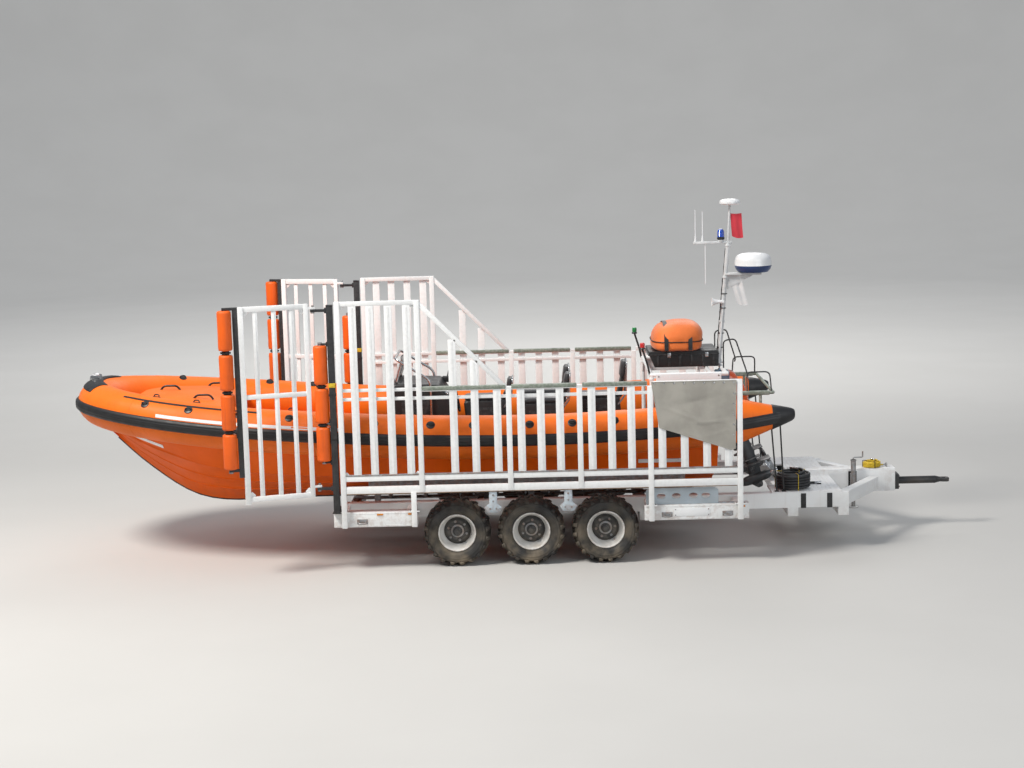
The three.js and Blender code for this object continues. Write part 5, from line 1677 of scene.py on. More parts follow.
def pillow(name, low, high):
    """Rounded closed block between two corners, flat underneath."""
    a, b = Vector(low), Vector(high)
    power, rings, around = 3.2, 10, 28
    rows = []
    for i in range(rings + 1):
        t = i / rings
        full = (1 - abs(2 * t - 1) ** power) ** (1 / power) if 0 < t < 1 else 0.62
        shrink = 0.5 * (b.x - a.x) * (1 - full) * 0.25
        side = 0.5 * (b.y - a.y) * (1 - (1 - full) * 0.25)
        rows.append((a.x + shrink, b.x - shrink, side, a.z + (b.z - a.z) * t))
    obj = lofted(name, rows, around, 5.0)
    return moved(obj, Matrix.Translation((0, (a.y + b.y) / 2, 0)))


SEATS = (
    # name, node, x of the aft end, height of the back, seat centres in y
    ("helm", "seat_helm", 0.02, 1.96, (0.0,)),
    ("crew", "seats_crew", 0.7, 2.045, (-0.33, 0.33)),
    ("aft", "seat_aft", 1.38, 2.135, (0.0,)),
)


class RESCUE_OT_seats(bpy.types.Operator):
    """Jockey seats: moulded pods, stuffed saddles and back pads on hoops"""
    bl_idname = "rescue.seats"
    bl_label = "Seats"

    def execute(self, context):
        saddle = puffed(pillow("saddle", (-0.605, -0.135, 1.688), (-0.14, 0.135, 1.744)), 0.009, 3.0, 0.008)
        back = puffed(pillow("back", (-0.098, -0.132, 0.0), (-0.036, 0.132, 0.2)), 0.009, 3.0, 0.007)
        for key, node, x, top, centres in SEATS:
            pods, hoops = [], []
            for y in centres:
                place = Matrix.Translation((x, y, 0))
                outline = [(-0.58, SOLE_TOP), (-0.1, SOLE_TOP), (-0.075, 1.4), (-0.1, 1.69), (-0.56, 1.69),
                           (-0.6, 1.66), (-0.585, 1.5)]
                pod = plate("pod", outline, -0.125, 0.125, 0.022, 3)
                rest = plate("rest", [(-0.15, 1.69), (-0.07, 1.69), (-0.022, top - 0.06),
                                      (-0.045, top - 0.06), (-0.12, 1.76)], -0.1, 0.1, 0.01, 2)
                hatch = plate("hatch", [(-0.5, 1.42), (-0.2, 1.42), (-0.2, 1.6), (-0.5, 1.6)], -0.129, -0.124,
                              0.0015)
                pods.append(painted(moved(joined("pod", pod, rest, hatch), place), "moulding"))
                hoop = bent([(x - 0.03, y - 0.143, 1.72), (x - 0.012, y - 0.143, top - 0.012),
                             (x - 0.012, y + 0.143, top - 0.012), (x - 0.03, y + 0.143, 1.72)], 0.05)
                hoops.append(pipe("hoop", hoop, 0.0105, 4))
                for sign in (-1, 1):
                    low, high = (x - 0.12, y + sign * 0.118, 1.6), (x - 0.03, y + sign * 0.143, 1.725)
                    hoops.append(rods("hoop_foot", [(low, high, 0.0105)], 14))
            if len(centres) > 1:
                plinth = bars("plinth", [((x - 0.56, -0.2, SOLE_TOP), (x - 0.08, 0.2, SOLE_TOP + 0.12))],
                              0.012, 3)
                pods.append(painted(plinth, "moulding"))
            put(joined(f"seat_pod_{key}", *pods), "black_plastic", node)
            put(painted(joined(f"seat_hoop_{key}", *hoops), "stainless"), "black_plastic", node)
            for number, y in enumerate(centres, 1):
                place = Matrix.Translation((x, y, 0))
                seat = painted(copied(saddle, f"saddle_{key}_{number}", place), "vinyl")
                lean = pitched(0, 0, top - 0.225, 9)
                pad = painted(copied(back, f"back_pad_{key}_{number}", place @ lean), "vinyl")
                for piece in (seat, pad):
                    put(piece, "black_plastic", node)
                seam = bent([(x - 0.58, y - 0.136, 1.715), (x - 0.165, y - 0.136, 1.715),
                             (x - 0.165, y + 0.136, 1.715), (x - 0.58, y + 0.136, 1.715)], 0.03)
                piping = painted(pipe(f"piping_{key}_{number}", seam, 0.0035, 3), "rubber")
                put(piping, "black_plastic")
        discard(saddle, back)
        return {"FINISHED"}


class RESCUE_OT_console(bpy.types.Operator):
    """Steering console with wheel, levers, dials, grab rail and tinted screen"""
    bl_idname = "rescue.console"
    bl_label = "Console"

    def execute(self, context):
        outline = [(-1.45, SOLE_TOP), (-0.7, SOLE_TOP), (-0.7, 1.7), (-0.86, 1.93), (-1.38, 1.95),
                   (-1.45, 1.88)]
        body = plate("console", outline, -0.4, 0.4, 0.03, 4)
        hatch = bars("hatch", [((-1.3, -0.405, 1.42), (-0.95, -0.398, 1.78)),
                               ((-1.3, 0.398, 1.42), (-0.95, 0.405, 1.78)),
                               ((-0.702, -0.25, 1.38), (-0.694, 0.25, 1.62))], 0.003)
        ribs = bars("ribs", [((-1.38, -0.406, 1.36), (-0.78, -0.396, 1.372)),
                             ((-1.38, 0.396, 1.36), (-0.78, 0.406, 1.372))], 0.002)
        put(painted(joined("console_shell", body, hatch, ribs), "moulding"), "black_plastic",
            "steering_console")
        slope = pitched(-0.78, 0, 1.815, 34.8)
        dials = []
        for y in (-0.27, -0.15, 0.17):
            ring = [(0.0, 0.002), (0.036, 0.002), (0.038, 0.006), (0.043, 0.007), (0.046, 0.003),
                    (0.046, -0.01), (0.0, -0.01)]
            dials.append(turned("dial", ring, slope @ Matrix.Translation((0, y, 0)), 28, 30))
        dials = painted(joined("console_dials", *dials), "stainless")
        screen = bars("chart_screen", [((-0.085, -0.085, -0.006), (0.085, 0.085, 0.014))], 0.006, 3)
        moved(screen, slope @ Matrix.Translation((0, 0.01, 0)))
        screen = painted(screen, "clear_dark")
        put(dials, "black_plastic")
        put(screen, "black_plastic")
        self.wheel()
        self.levers()
        self.rail()
        self.screen()
        return {"FINISHED"}

    def wheel(self):
        place = pitched(-0.668, -0.03, 1.72, 78)
        clear_selection()
        bpy.ops.mesh.primitive_torus_add(major_radius=0.165, minor_radius=0.0125, major_segments=48,
                                         minor_segments=14)
        ring = moved(named(bpy.context.object, "wheel_ring"), place)
        smoothed(ring, 60)
        spokes = []
        for i in range(3):
            turn = 2 * pi * i / 3 + 0.4
            tip = Vector((0.16 * cos(turn), 0.16 * sin(turn), 0))
            spokes.append((place @ Vector((0, 0, -0.012)), place @ tip, 0.009, 0.006))
        arms = rods("wheel_arms", spokes, 12)
        boss = turned("wheel_boss", [(0, 0.014), (0.022, 0.012), (0.03, 0.0), (0.026, -0.04), (0, -0.04)],
                      place, 24)
        put(painted(joined("steering_wheel", ring, arms, boss), "rubber"), "black_plastic")

    def levers(self):
        base = bars("lever_base", [((-0.85, 0.3, 1.86), (-0.73, 0.38, 1.93))], 0.012, 3)
        sticks = rods("levers", [((-0.79, 0.325, 1.92), (-0.755, 0.325, 2.04), 0.007),
                                 ((-0.79, 0.355, 1.92), (-0.76, 0.355, 2.035), 0.007),
                                 ((-0.757, 0.31, 2.035), (-0.757, 0.34, 2.035), 0.012),
                                 ((-0.762, 0.345, 2.032), (-0.762, 0.372, 2.032), 0.012)], 16, 0.003)
        put(painted(joined("throttle_levers", base, sticks), "moulding"), "black_plastic")

    def rail(self):
        foot_x, side, radius = -0.95, 0.43, 0.0145
        half = [(foot_x, -side, 1.45), (foot_x, -side, 1.99), (-1.36, -side, 2.25)]
        path = bent(half + [(x, -y, z) for x, y, z in reversed(half)], 0.08, 8)
        rail = pipe("grab_rail", path, radius, 6)
        feet = rods("rail_feet", [((foot_x, s * 0.397, z), (foot_x, s * side, z), wide)
                                  for z, wide in ((1.45, radius), (1.78, 0.01)) for s in (-1, 1)], 18)
        put(painted(joined("console_rail", rail, feet), "stainless"), "black_plastic", "steering_console")

    def screen(self):
        def point(u, w):
            across = 2 * u - 1
            y = 0.38 * across
            z = 1.9505 + 0.2745 * w * (1 - 0.12 * across ** 4)
            return Vector((-1.395 + 0.05 * across ** 2 + 0.08 * w, y, z))
        pane = surface("screen_pane", 24, 8, point, caps=False)
        thickened(pane, 0.006)
        put(painted(smoothed(pane, 50), "clear_dark"), "screen_plastic", "windscreen")
        foot = [point(i / 24, 0.0) + Vector((0, 0, 0.006)) for i in range(25)]
        edge = [point(i / 24, 1.0) for i in range(25)]
        trim = joined("screen_trim", pipe("foot", foot, 0.008, 4), pipe("edge", edge, 0.005, 4))
        put(painted(trim, "rubber"), "screen_plastic")


class RESCUE_OT_gantry(bpy.types.Operator):
    """Tubular gantry with name boards left blank, the equipment box and the folded righting bag"""
    bl_idname = "rescue.gantry"
    bl_label = "Gantry"

    def execute(self, context):
        top, radius = GANTRY_TOP, GANTRY_TUBE_R
        tubes = []
        # columns: name, lower end, upper end, radius, sides, rounding
        rows = (("posts", SOLE_TOP, top, radius, 24, 0.0),
                ("flanges", SOLE_TOP, SOLE_TOP + 0.012, 0.055, 28, 0.002),
                ("clamps", top - 0.06, top - 0.03, 0.029, 24, 0.002))
        for y in (-GANTRY_Y, GANTRY_Y):
            for name, low, high, wide, sides, width in rows:
                items = [((x, y, low), (x, y, high), wide) for x in GANTRY_POSTS_X]
                tubes.append(rods(name, items, sides, width))
            tubes.append(rods("side", [((1.596, y, top), (2.504, y, top), radius)], 24, 0.003))
        tubes.append(rods("cross", [((x, -GANTRY_Y, top), (x, GANTRY_Y, top), radius)
                                    for x in (*GANTRY_POSTS_X, 2.48)], 24))
        tubes.append(rods("braces", [((x, s * GANTRY_Y, 1.86), (x, s * 0.62, top), 0.014)
                                     for x in GANTRY_POSTS_X for s in (-1, 1)], 16))
        frame_piece = painted(joined("gantry_tubes", *tubes), "alloy")
        put(frame_piece, "white_alloy", "gantry_frame")
        board = painted(bars("board", [((1.67, -0.832, 1.87), (2.42, -0.818, 2.05))], 0.005, 3), "dome")
        bolts = bolt_heads("board_bolts", [(x, -0.832, z) for x in (1.7, 2.39) for z in (1.9, 2.02)],
                           (0, -1, 0), 0.007, 0.004)
        on_both_sides(joined("board", board, bolts), "gantry_board", "white_alloy", "gantry_frame")
        self.side_lights()
        self.box()
        self.bag()
        return {"FINISHED"}

    def side_lights(self):
        x = 1.52
        path = bent([(1.6, -GANTRY_Y, 2.04), (1.575, -GANTRY_Y, 2.16), (x, -GANTRY_Y, 2.34)], 0.03)
        stalk = painted(pipe("stalk", path, 0.012, 5), "dark_steel")
        seat = painted(turned("seat", [(0, 0), (0.032, 0), (0.034, 0.008), (0.028, 0.02), (0, 0.02)],
                              upright(x, -GANTRY_Y, 2.338), 28), "moulding")
        stalks = joined("light_stalk", stalk, seat)
        on_both_sides(stalks, "light_stalk", "white_alloy", "gantry_frame")
        lens = [(0, 0), (0.026, 0), (0.028, 0.006), (0.028, 0.044), (0.022, 0.056), (0, 0.06)]
        for side, sign, look in (("port", -1, "red"), ("starboard", 1, "green")):
            lamp = painted(turned(f"side_light_{side}", lens, upright(x, sign * GANTRY_Y, 2.358), 28), look)
            put(lamp, "blue_lens")

    def box(self):
        low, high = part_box("gantry_box")
        outline = [(1.69, low.z + 0.0005), (high.x, low.z + 0.0005), (high.x, 2.238), (2.428, high.z - 0.001),
                   (1.63, high.z - 0.001), (low.x, 2.238)]
        shell = plate("box", outline, low.y, high.y, 0.014, 4)
        rim = ((low.x - 0.006, low.y - 0.006, high.z - 0.05),
               (high.x + 0.006, high.y + 0.006, high.z - 0.036))
        lid = bars("lid", [rim], 0.004)
        ribs = [((x - 0.012, low.y - 0.006, low.z + 0.01), (x + 0.012, low.y + 0.006, high.z - 0.05))
                for x in (1.73, 1.86, 1.99, 2.12, 2.25, 2.38)]
        ribs += [((x0, -low.y - 0.006, z0), (x1, -low.y + 0.006, z1)) for (x0, _, z0), (x1, _, z1) in ribs]
        case = painted(joined("equipment_box", shell, lid, bars("ribs", ribs, 0.003)), "moulding")
        put(case, "black_plastic", "gantry_box")
        latches = [((x - 0.02, low.y - 0.014, high.z - 0.075), (x + 0.02, low.y - 0.004, high.z - 0.02))
                   for x in (1.86, 2.3)]
        put(painted(bars("box_latches", latches, 0.003), "stainless"), "black_plastic")

    def bag(self):
        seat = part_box("righting_bag")[0].z
        # columns: fore end, aft end, half-width, height above the seat
        rows = ((1.684, 2.26, 0.388, 0.003), (1.664, 2.272, 0.403, 0.018), (1.657, 2.275, 0.408, 0.045),
                (1.658, 2.28, 0.403, 0.085), (1.669, 2.272, 0.394, 0.108), (1.673, 2.277, 0.392, 0.132),
                (1.685, 2.281, 0.388, 0.165), (1.712, 2.267, 0.37, 0.218), (1.752, 2.243, 0.34, 0.262),
                (1.84, 2.198, 0.284, 0.297), (1.93, 2.12, 0.188, 0.317), (1.99, 2.06, 0.09, 0.321))
        rings = [(x0, x1, half, seat + z) for x0, x1, half, z in rows]
        middle, half, tall = 1.967, 0.305, 0.318
        shell = lofted("bag", rings, 40, 3.4)
        bag = painted(puffed(shell, 0.016, 2.5, 0.011), "bag")
        bag.name = bag.data.name = "righting_bag_shell"
        put(bag, "bag_fabric", "righting_bag")
        around = []
        for i in range(49):
            a, b = squircle(2 * pi * i / 48, 3.4)
            around.append(Vector((1.971 + a * half, b * 0.397, seat + 0.109)))
        rope = painted(pipe("bag_lacing", around, 0.006, 3), "rubber")
        put(rope, "bag_fabric")
        straps = []
        for x in (middle - 0.14, middle + 0.14):
            part = (x - middle) / half

            def strap_point(u, w, x=x, part=part):
                turn = pi * u
                a = cos(turn)
                lift = max(0.0, 1 - abs(a) ** 2.6) ** (1 / 2.2)
                z = seat + 0.012 + tall * lift * (1 - 0.16 * part * part)
                return Vector((x + 0.024 * (2 * w - 1), a * 0.41, z))
            strap = surface("strap", 28, 2, strap_point, caps=False)
            thickened(strap, 0.003)
            straps.append(strap)
        webbing = painted(smoothed(joined("bag_straps", *straps), 50), "rubber")
        put(webbing, "bag_fabric")


def waved_cloth(name, low, high, waves, slant, look):
    """Cloth hanging in folds from its upper fore corner, its lower end slanting aft; a cloth sheet."""
    wide, tall = high.x - low.x, high.z - low.z

    def point(u, w):
        x = low.x + wide * (slant * (1 - w) ** 1.2 + (1 - slant) * u)
        fold = 0.0035 * sin(2 * pi * waves * u + 1.1 * w) * min(1.0, u * 3) + 0.003 * sin(7 * w + 5 * u)
        hang = 0.05 * tall * sin(pi * u) + 0.07 * tall * u * (1 - w)
        return Vector((x, fold, high.z - tall * (1 - w) * 0.93 - hang * (1 - 0.6 * w)))
    cloth = surface(name, 40, 30, point, caps=False)
    width = path_length([point(i / 60, 0.5) for i in range(61)])
    thickened(cloth, 0.0012)
    put(painted(smoothed(cloth, 60), look), "flag_fabric")
    return cloth


class RESCUE_OT_mast(bpy.types.Operator):
    """Raked mast with yard, aerials, horn, cap, radar, lamp, cables and two plain flags"""
    bl_idname = "rescue.mast"
    bl_label = "Mast"

    def execute(self, context):
        foot, head, tip = Vector((2.475, 0, 2.069)), Vector((2.6, 0, 3.49)), Vector((2.625, 0, 3.93))
        column = rods("column", [(foot, head, 0.028, 0.024), (head, tip, 0.016, 0.013)], 24)
        plates = bars("foot_plate", [((2.445, -0.06, 2.0592), (2.52, 0.06, 2.074))], 0.003)
        collars = rods("collars", [(foot + (head - foot) * t, foot + (head - foot) * (t + 0.02), 0.034)
                                   for t in (0.0, 0.33, 0.7, 0.965)], 24, 0.002)
        yard = bars("yard", [((2.19, -0.02, 3.475), (2.645, 0.02, 3.505)),
                             ((2.56, -0.045, 3.1), (2.99, 0.045, 3.129))], 0.006, 3)
        bracket = plate("bracket", [(2.57, 3.1), (2.9, 3.1), (2.585, 2.93)], -0.006, 0.006, 0.002)
        seat = rods("lamp_seat", [((2.515, 0, 3.5), (2.515, 0, 3.5245), 0.034)], 28, 0.003)
        struts = rods("struts", [((2.462, way * 0.12, 2.069), (2.535, way * 0.012, 2.75), 0.0118)
                                 for way in (-1, 1)], 16)
        foot_bar = bars("foot_bar", [((2.452, -0.13, 2.0594), (2.472, 0.13, 2.079))], 0.002)
        mast = joined("mast_column", column, plates, foot_bar, collars, yard, bracket, seat, struts)
        mast = painted(mast, "mast")
        put(mast, "mast_alloy", "mast")
        whips = rods("whips", [((x, 0, 3.505), (x, 0, tip_z), 0.0085, 0.004) for x, tip_z in
                               ((2.215, 3.885), (2.3, 3.86))], 12)
        bases = rods("bases", [((x, 0, 3.505), (x, 0, 3.57), 0.015, 0.01) for x in (2.215, 2.3)], 18)
        lower = rods("lower_whip", [((2.33, 0, 3.0), (2.33, 0, 3.475), 0.006)], 10)
        put(painted(joined("aerials", whips, bases, lower), "dome"), "mast_alloy", "mast")
        cap = turned("mast_cap", [(0, 3.926), (0.045, 3.926), (0.06, 3.93), (0.112, 3.94), (0.122, 3.95),
                                  (0.121, 3.972), (0.108, 3.988), (0.07, 4.0), (0, 4.006)],
                     upright(2.625, 0, 0), 40)
        put(painted(cap, "dome"), "mast_alloy", "mast")
        bell = [(0, 0), (0.02, 0), (0.022, 0.05), (0.03, 0.09), (0.05, 0.13), (0.046, 0.132), (0.02, 0.1),
                (0, 0.1)]
        horn = turned("horn", bell, pitched(2.53, -0.035, 2.79, -90), 28)
        arm = bars("horn_arm", [((2.515, -0.06, 2.775), (2.545, 0.0, 2.805))], 0.003)
        put(painted(joined("horn", horn, arm), "dome"), "mast_alloy", "mast")
        self.radar()
        self.lamp()
        self.cables(foot, head)
        self.flags()
        boxes = [((2.4, -0.42, 1.9), (2.56, -0.2, 2.005)), ((2.44, -0.38, 2.004), (2.52, -0.24, 2.03))]
        put(painted(bars("junction_box", boxes, 0.012, 3), "slate"), "mast_alloy")
        return {"FINISHED"}

    def radar(self):
        place = upright(2.895, 0, 3.1303)
        shell = [(0, 0.0), (0.14, 0.0), (0.175, 0.003), (0.204, 0.036), (0.2155, 0.07), (0.2165, 0.078),
                 (0.218, 0.082), (0.218, 0.092), (0.2165, 0.096), (0.2165, 0.13), (0.212, 0.16), (0.2, 0.186),
                 (0.18, 0.206), (0.14, 0.222), (0.08, 0.23), (0, 0.232)]
        dome = painted(turned("dome", shell[6:] + [(0, 0.082)], place, 56), "dome")
        # the lower pan is painted dark blue, painted shade under the dome
        pan = painted(turned("pan", shell[:6] + [(0.2155, 0.0825), (0, 0.0825)], place, 56), "deep_blue")
        put(joined("radar", dome, pan), "dome_plastic", "radar_dome")

    def lamp(self):
        place = upright(2.515, 0, 3.5253)
        base = painted(turned("base", [(0, 0), (0.042, 0), (0.044, 0.004), (0.044, 0.026), (0.038, 0.031),
                                       (0, 0.031)], place, 40), "moulding")
        ridges = [(0.0405 + 0.0022 * (i % 2), 0.03 + 0.005 * i) for i in range(13)]
        lens = painted(turned("lens", [(0, 0.03), *ridges, (0.038, 0.1), (0.028, 0.118), (0.014, 0.125),
                                       (0, 0.126)], place, 40, 25), "blue_lens")
        put(joined("beacon", base, lens), "blue_lens", "blue_lamp")

    def cables(self, foot, head):
        axis = head - foot
        made = []
        for angle, top in ((2.4, 0.95), (2.75, 0.72), (3.1, 0.5)):
            side = Vector((cos(angle) * 0.032, sin(angle) * 0.032, 0))
            path = []
            for i in range(31):
                sway = Vector((0.002 * sin(i * 1.7), 0.002 * cos(i), 0))
                path.append(foot + side + axis * (0.01 + (top - 0.01) * i / 30) + sway)
            made.append(pipe("cable", path, 0.005, 3))
        ties = rods("ties", [(foot + axis * t, foot + axis * (t + 0.006), 0.039)
                             for t in (0.12, 0.24, 0.45, 0.57)], 20)
        lead = bent([(2.565, 0.03, 3.1), (2.62, 0.02, 3.06), (2.78, 0.0, 3.085), (2.85, 0.0, 3.1)], 0.03)
        made.append(pipe("lead", lead, 0.005, 3))
        put(painted(joined("mast_cables", *made, ties), "rubber"), "mast_alloy")

    def flags(self):
        # columns: node, piece, shift of the hoist edge, folds, slant, finish
        rows = (("flag_upper", "flag_red_cloth", -0.006, 1.5, 0.12, "flag_red"),
                ("flag_lower", "flag_white_cloth", -0.02, 1.8, 0.38, "flag_white"))
        for node, name, shift, waves, slant, look in rows:
            low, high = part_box(node)
            cloth = waved_cloth(name, low + Vector((shift, 0, 0)), high, waves, slant, look)
            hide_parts(node)


class RESCUE_OT_stern_guard(bpy.types.Operator):
    """Grey-green guard rails round the outboards, thin hoops and the tie-down straps"""
    bl_idname = "rescue.stern_guard"
    bl_label = "Stern guard"

    def execute(self, context):
        rails = []
        fore, aft, low, top = 2.3245, 3.02, 1.5, 1.8
        sides = (-GANTRY_Y, GANTRY_Y)
        for y in sides:
            rails.append(rods("uprights", [((2.87, y, low - 0.01), (2.87, y, top), 0.0175),
                                           ((2.64, y, low), (2.64, y, top), 0.0175)], 20))
            rails.append(rods("lower", [((fore, y, low), (2.885, y, low), 0.018)], 20, 0.004))
        rear = bent([(fore, -GANTRY_Y, top), (aft, -GANTRY_Y, top), (aft, GANTRY_Y, top),
                     (fore, GANTRY_Y, top)], 0.02, 4)
        rails.append(pipe("upper", rear, 0.018, 7))
        put(painted(joined("guard_rails", *rails), "capping"), "mast_alloy", "stern_guard")
        pads = []
        for y in sides:
            pads.append(((2.4, y - 0.022, 1.775), (2.98, y + 0.022, 1.825)))
            pads.append(((2.61, y - 0.021, 1.55), (2.67, y + 0.021, 1.76)))
        put(painted(bars("guard_pads", pads, 0.012, 3), "capping"), "mast_alloy")
        hoops = []
        for sign in (-1, 1):
            side, inset = sign * GANTRY_Y, sign * 0.7
            path = bent([(2.72, side, top), (2.725, inset, 2.03), (2.99, inset, 2.03), (3.0, side, top)],
                        0.06)
            hoops.append(pipe("hoop", path, 0.0085, 4))
            path = bent([(2.48, sign * 0.5, 2.05), (2.48, sign * 0.5, 2.38), (2.62, sign * 0.5, 2.4),
                         (2.74, sign * 0.58, 2.02), (2.74, sign * 0.68, 1.98)], 0.05)
            hoops.append(pipe("rear_hoop", path, 0.0085, 4))
        put(painted(joined("guard_hoops", *hoops), "dark_steel"), "mast_alloy", "stern_guard")
        self.tie_downs()
        return {"FINISHED"}

    def tie_downs(self):
        """Webbing from the tube ends down to rings on the deck plate."""
        made = []
        # columns: upper end, lower end
        for top, low in (((2.93, -1.2, 1.63), (3.02, -1.05, 0.7)), ((3.04, -1.17, 1.6), (3.1, -1.05, 0.7))):
            a, b = Vector(top), Vector(low)

            def point(u, w, a=a, b=b):
                return a.lerp(b, u) + Vector((0.009 * (2 * w - 1), 0.002, 0))
            strap = surface("strap", 12, 2, point, caps=False)
            thickened(strap, 0.0025)
            made.append(strap)
            ring = ((b.x - 0.025, b.y - 0.025, DECK_TOP), (b.x + 0.025, b.y + 0.025, DECK_TOP + 0.012))
            made.append(bars("ring_plate", [ring], 0.003))
        patch = rods("strap_patch", [((2.98, -1.2, 1.62), (2.985, -1.222, 1.632), 0.05)], 24, 0.002)
        straps = painted(joined("tie_down_straps", *made, patch), "rubber")
        on_both_sides(straps, "tie_down_straps", "black_rubber")


class RESCUE_OT_outboards(bpy.types.Operator):
    """Two outboards: clamp bracket, steering swivel, engine with its leg, and propeller"""
    bl_idname = "rescue.outboards"
    bl_label = "Outboards"

    def execute(self, context):
        upright_place = Matrix.Translation(PIVOT)
        tilted = upright_place @ Matrix.Rotation(-REST_TILT, 4, "Y")
        bracket = moved(self.bracket(), upright_place)
        on_both_sides(bracket, "clamp_bracket", "outboard_bracket", "outboard_bracket_{side}")
        swivel = moved(self.swivel(), tilted)
        on_both_sides(swivel, "swivel_housing", "outboard_bracket", "outboard_swivel_{side}",
                      body="swivel_{side}")
        pieces = (("engine_cowl", self.cowl()), ("engine_trim", self.trim()), ("engine_leg", self.leg()))
        for name, piece in pieces:
            on_both_sides(moved(piece, tilted), name, "outboard_body", "outboard_engine_{side}",
                          body="engine_{side}")
        propeller = moved(self.propeller(), tilted)
        on_both_sides(propeller, "propeller_blades", "prop_metal", "propeller_{side}", body="screw_{side}")
        return {"FINISHED"}

    def bracket(self):
        x = TRANSOM_X - PIVOT.x
        plates = bars("plate", [((x, -0.11, -0.26), (x + 0.025, 0.11, -0.02)),
                                ((x + 0.02, -0.09, -0.25), (x + 0.032, 0.09, -0.215))], 0.005)
        cheeks = []
        for sign in (-1, 1):
            outline = [(x + 0.02, -0.24), (x + 0.06, -0.24), (0.03, -0.03), (0.03, 0.01), (0.012, 0.03),
                       (-0.02, 0.03), (x + 0.02, -0.03)]
            cheeks.append(plate("cheek", outline, sign * 0.095 - 0.01, sign * 0.095 + 0.01, 0.004))
        pin = rods("pin", [((0, -0.1045, 0), (0, 0.1045, 0), 0.0138)], 24)
        caps = rods("caps", [((0, s * 0.104, 0), (0, s * 0.112, 0), 0.021) for s in (-1, 1)], 24, 0.002)
        bolts = bolt_heads("bolts", [(x + 0.025, y, z) for y in (-0.06, 0.06) for z in (-0.06, -0.2)],
                           (1, 0, 0), 0.009, 0.008)
        return joined("clamp", painted(joined("clamp", plates, *cheeks, pin, caps), "casting"), bolts)

    def swivel(self):
        yoke = bars("yoke", [((-0.03, -0.069, -0.038), (STEER_X + 0.005, 0.069, 0.038))], 0.012, 3)
        tube = rods("tube", [((STEER_X, 0, -0.3), (STEER_X, 0, 0.0595), 0.0435)], 32, 0.004)
        rings = rods("rings",
                     [((STEER_X, 0, z), (STEER_X, 0, z + 0.012), 0.0438) for z in (-0.299, -0.2, 0.046)], 32)
        return painted(joined("swivel", yoke, tube, rings), "casting")

    def cowl(self):
        # columns: fore edge, aft edge, half-width, height, all with the leg upright
        rows = ((0.01, 0.37, 0.13, 0.141), (-0.012, 0.392, 0.155, 0.146), (-0.02, 0.402, 0.168, 0.158),
                (-0.02, 0.408, 0.17, 0.2), (-0.018, 0.413, 0.17, 0.27), (-0.014, 0.418, 0.168, 0.34),
                (-0.006, 0.416, 0.164, 0.388), (0.008, 0.398, 0.156, 0.425), (0.03, 0.37, 0.14, 0.452),
                (0.058, 0.335, 0.118, 0.468), (0.095, 0.295, 0.085, 0.477), (0.14, 0.25, 0.045, 0.48))
        shell = lofted("cowl", rows, 44, 3.6, 60)
        return painted(subdivided(shell), "cowl")

    def trim(self):
        pan = lofted("pan", ((0.02, 0.29, 0.1, 0.0605), (0.004, 0.302, 0.116, 0.066),
                             (-0.01, 0.36, 0.12, 0.1), (-0.018, 0.392, 0.13, 0.128),
                             (-0.016, 0.396, 0.14, 0.142), (0.0, 0.38, 0.14, 0.148)), 40, 3.6)
        band = []
        for i in range(49):
            a, b = squircle(2 * pi * i / 48, 3.6)
            band.append(Vector((0.194 + a * 0.2165, b * 0.1705, 0.17)))
        stripe = pipe("cowl_seam", band, 0.0045, 3)
        latch = bars("latch",
                     [((0.395, -0.03, 0.15), (0.41, 0.03, 0.19)), ((0.06, -0.1745, 0.3), (0.2, -0.166, 0.33)),
                      ((0.06, 0.166, 0.3), (0.2, 0.1745, 0.33))], 0.003)
        grip = plate("grip", [(0.3, 0.395), (0.405, 0.395), (0.395, 0.42), (0.31, 0.43)], -0.06, 0.06, 0.004)
        return painted(joined("trim", pan, stripe, latch, grip), "moulding")

    def leg(self):
        def lens(name, rows):
            """Form with rounded fore and thin aft edges: rows of (fore, aft, half-width, height)."""
            last = len(rows) - 1

            def point(u, w):
                x0, x1, half, z = rows[round(u * last)]
                turn = 2 * pi * w
                a, b = cos(turn), sin(turn)
                return Vector(((x0 + x1) / 2 + a * (x1 - x0) / 2, half * b * abs(b) ** 0.3 * (1 - 0.35 * a),
                               z))
            return smoothed(surface(name, last, 28, point), 50)
        shaft = lens("shaft",
                     ((0.11, 0.238, 0.049, 0.1), (0.11, 0.24, 0.049, 0.0), (0.111, 0.243, 0.045, -0.2),
                      (0.111, 0.246, 0.04, -0.42), (0.11, 0.25, 0.038, -0.56), (0.1, 0.25, 0.034, -0.615),
                      (0.092, 0.243, 0.028, -0.68), (0.09, 0.232, 0.026, -0.75)))
        pin = rods("pin", [((STEER_X, 0, -0.33), (STEER_X, 0, 0.1), 0.0235)], 24)
        lug = bars("lug", [((STEER_X - 0.03, -0.03, -0.335), (STEER_X + 0.09, 0.03, -0.31))], 0.008, 3)
        outline = both_halves([(0.04, -0.03), (0.1, -0.085), (0.14, -0.108), (0.4, -0.108)])
        fin = plate("fin", outline, -0.561, -0.547, 0.005, axis="Z")
        outline = both_halves([(0.07, -0.03), (0.13, -0.07), (0.3, -0.07)])
        upper_fin = plate("upper_fin", outline, -0.5, -0.492, 0.003, axis="Z")
        body = turned("gearcase", [(0, -0.06), (0.014, -0.052), (0.03, -0.032), (0.042, -0.008),
                                   (0.052, 0.03), (0.058, 0.08), (0.06, 0.15), (0.0595, 0.22),
                                   (0.055, 0.29), (0.048, 0.325), (0.04, 0.3395), (0, 0.3395)],
                      pitched(0, 0, PROP_Z, 90), 36, 50)
        skeg = plate("skeg", [(0.07, -0.775), (0.225, -0.775), (0.212, -0.84), (0.198, -0.86),
                              (0.152, -0.861), (0.125, -0.835)], -0.0075, 0.0075, 0.004, 2)
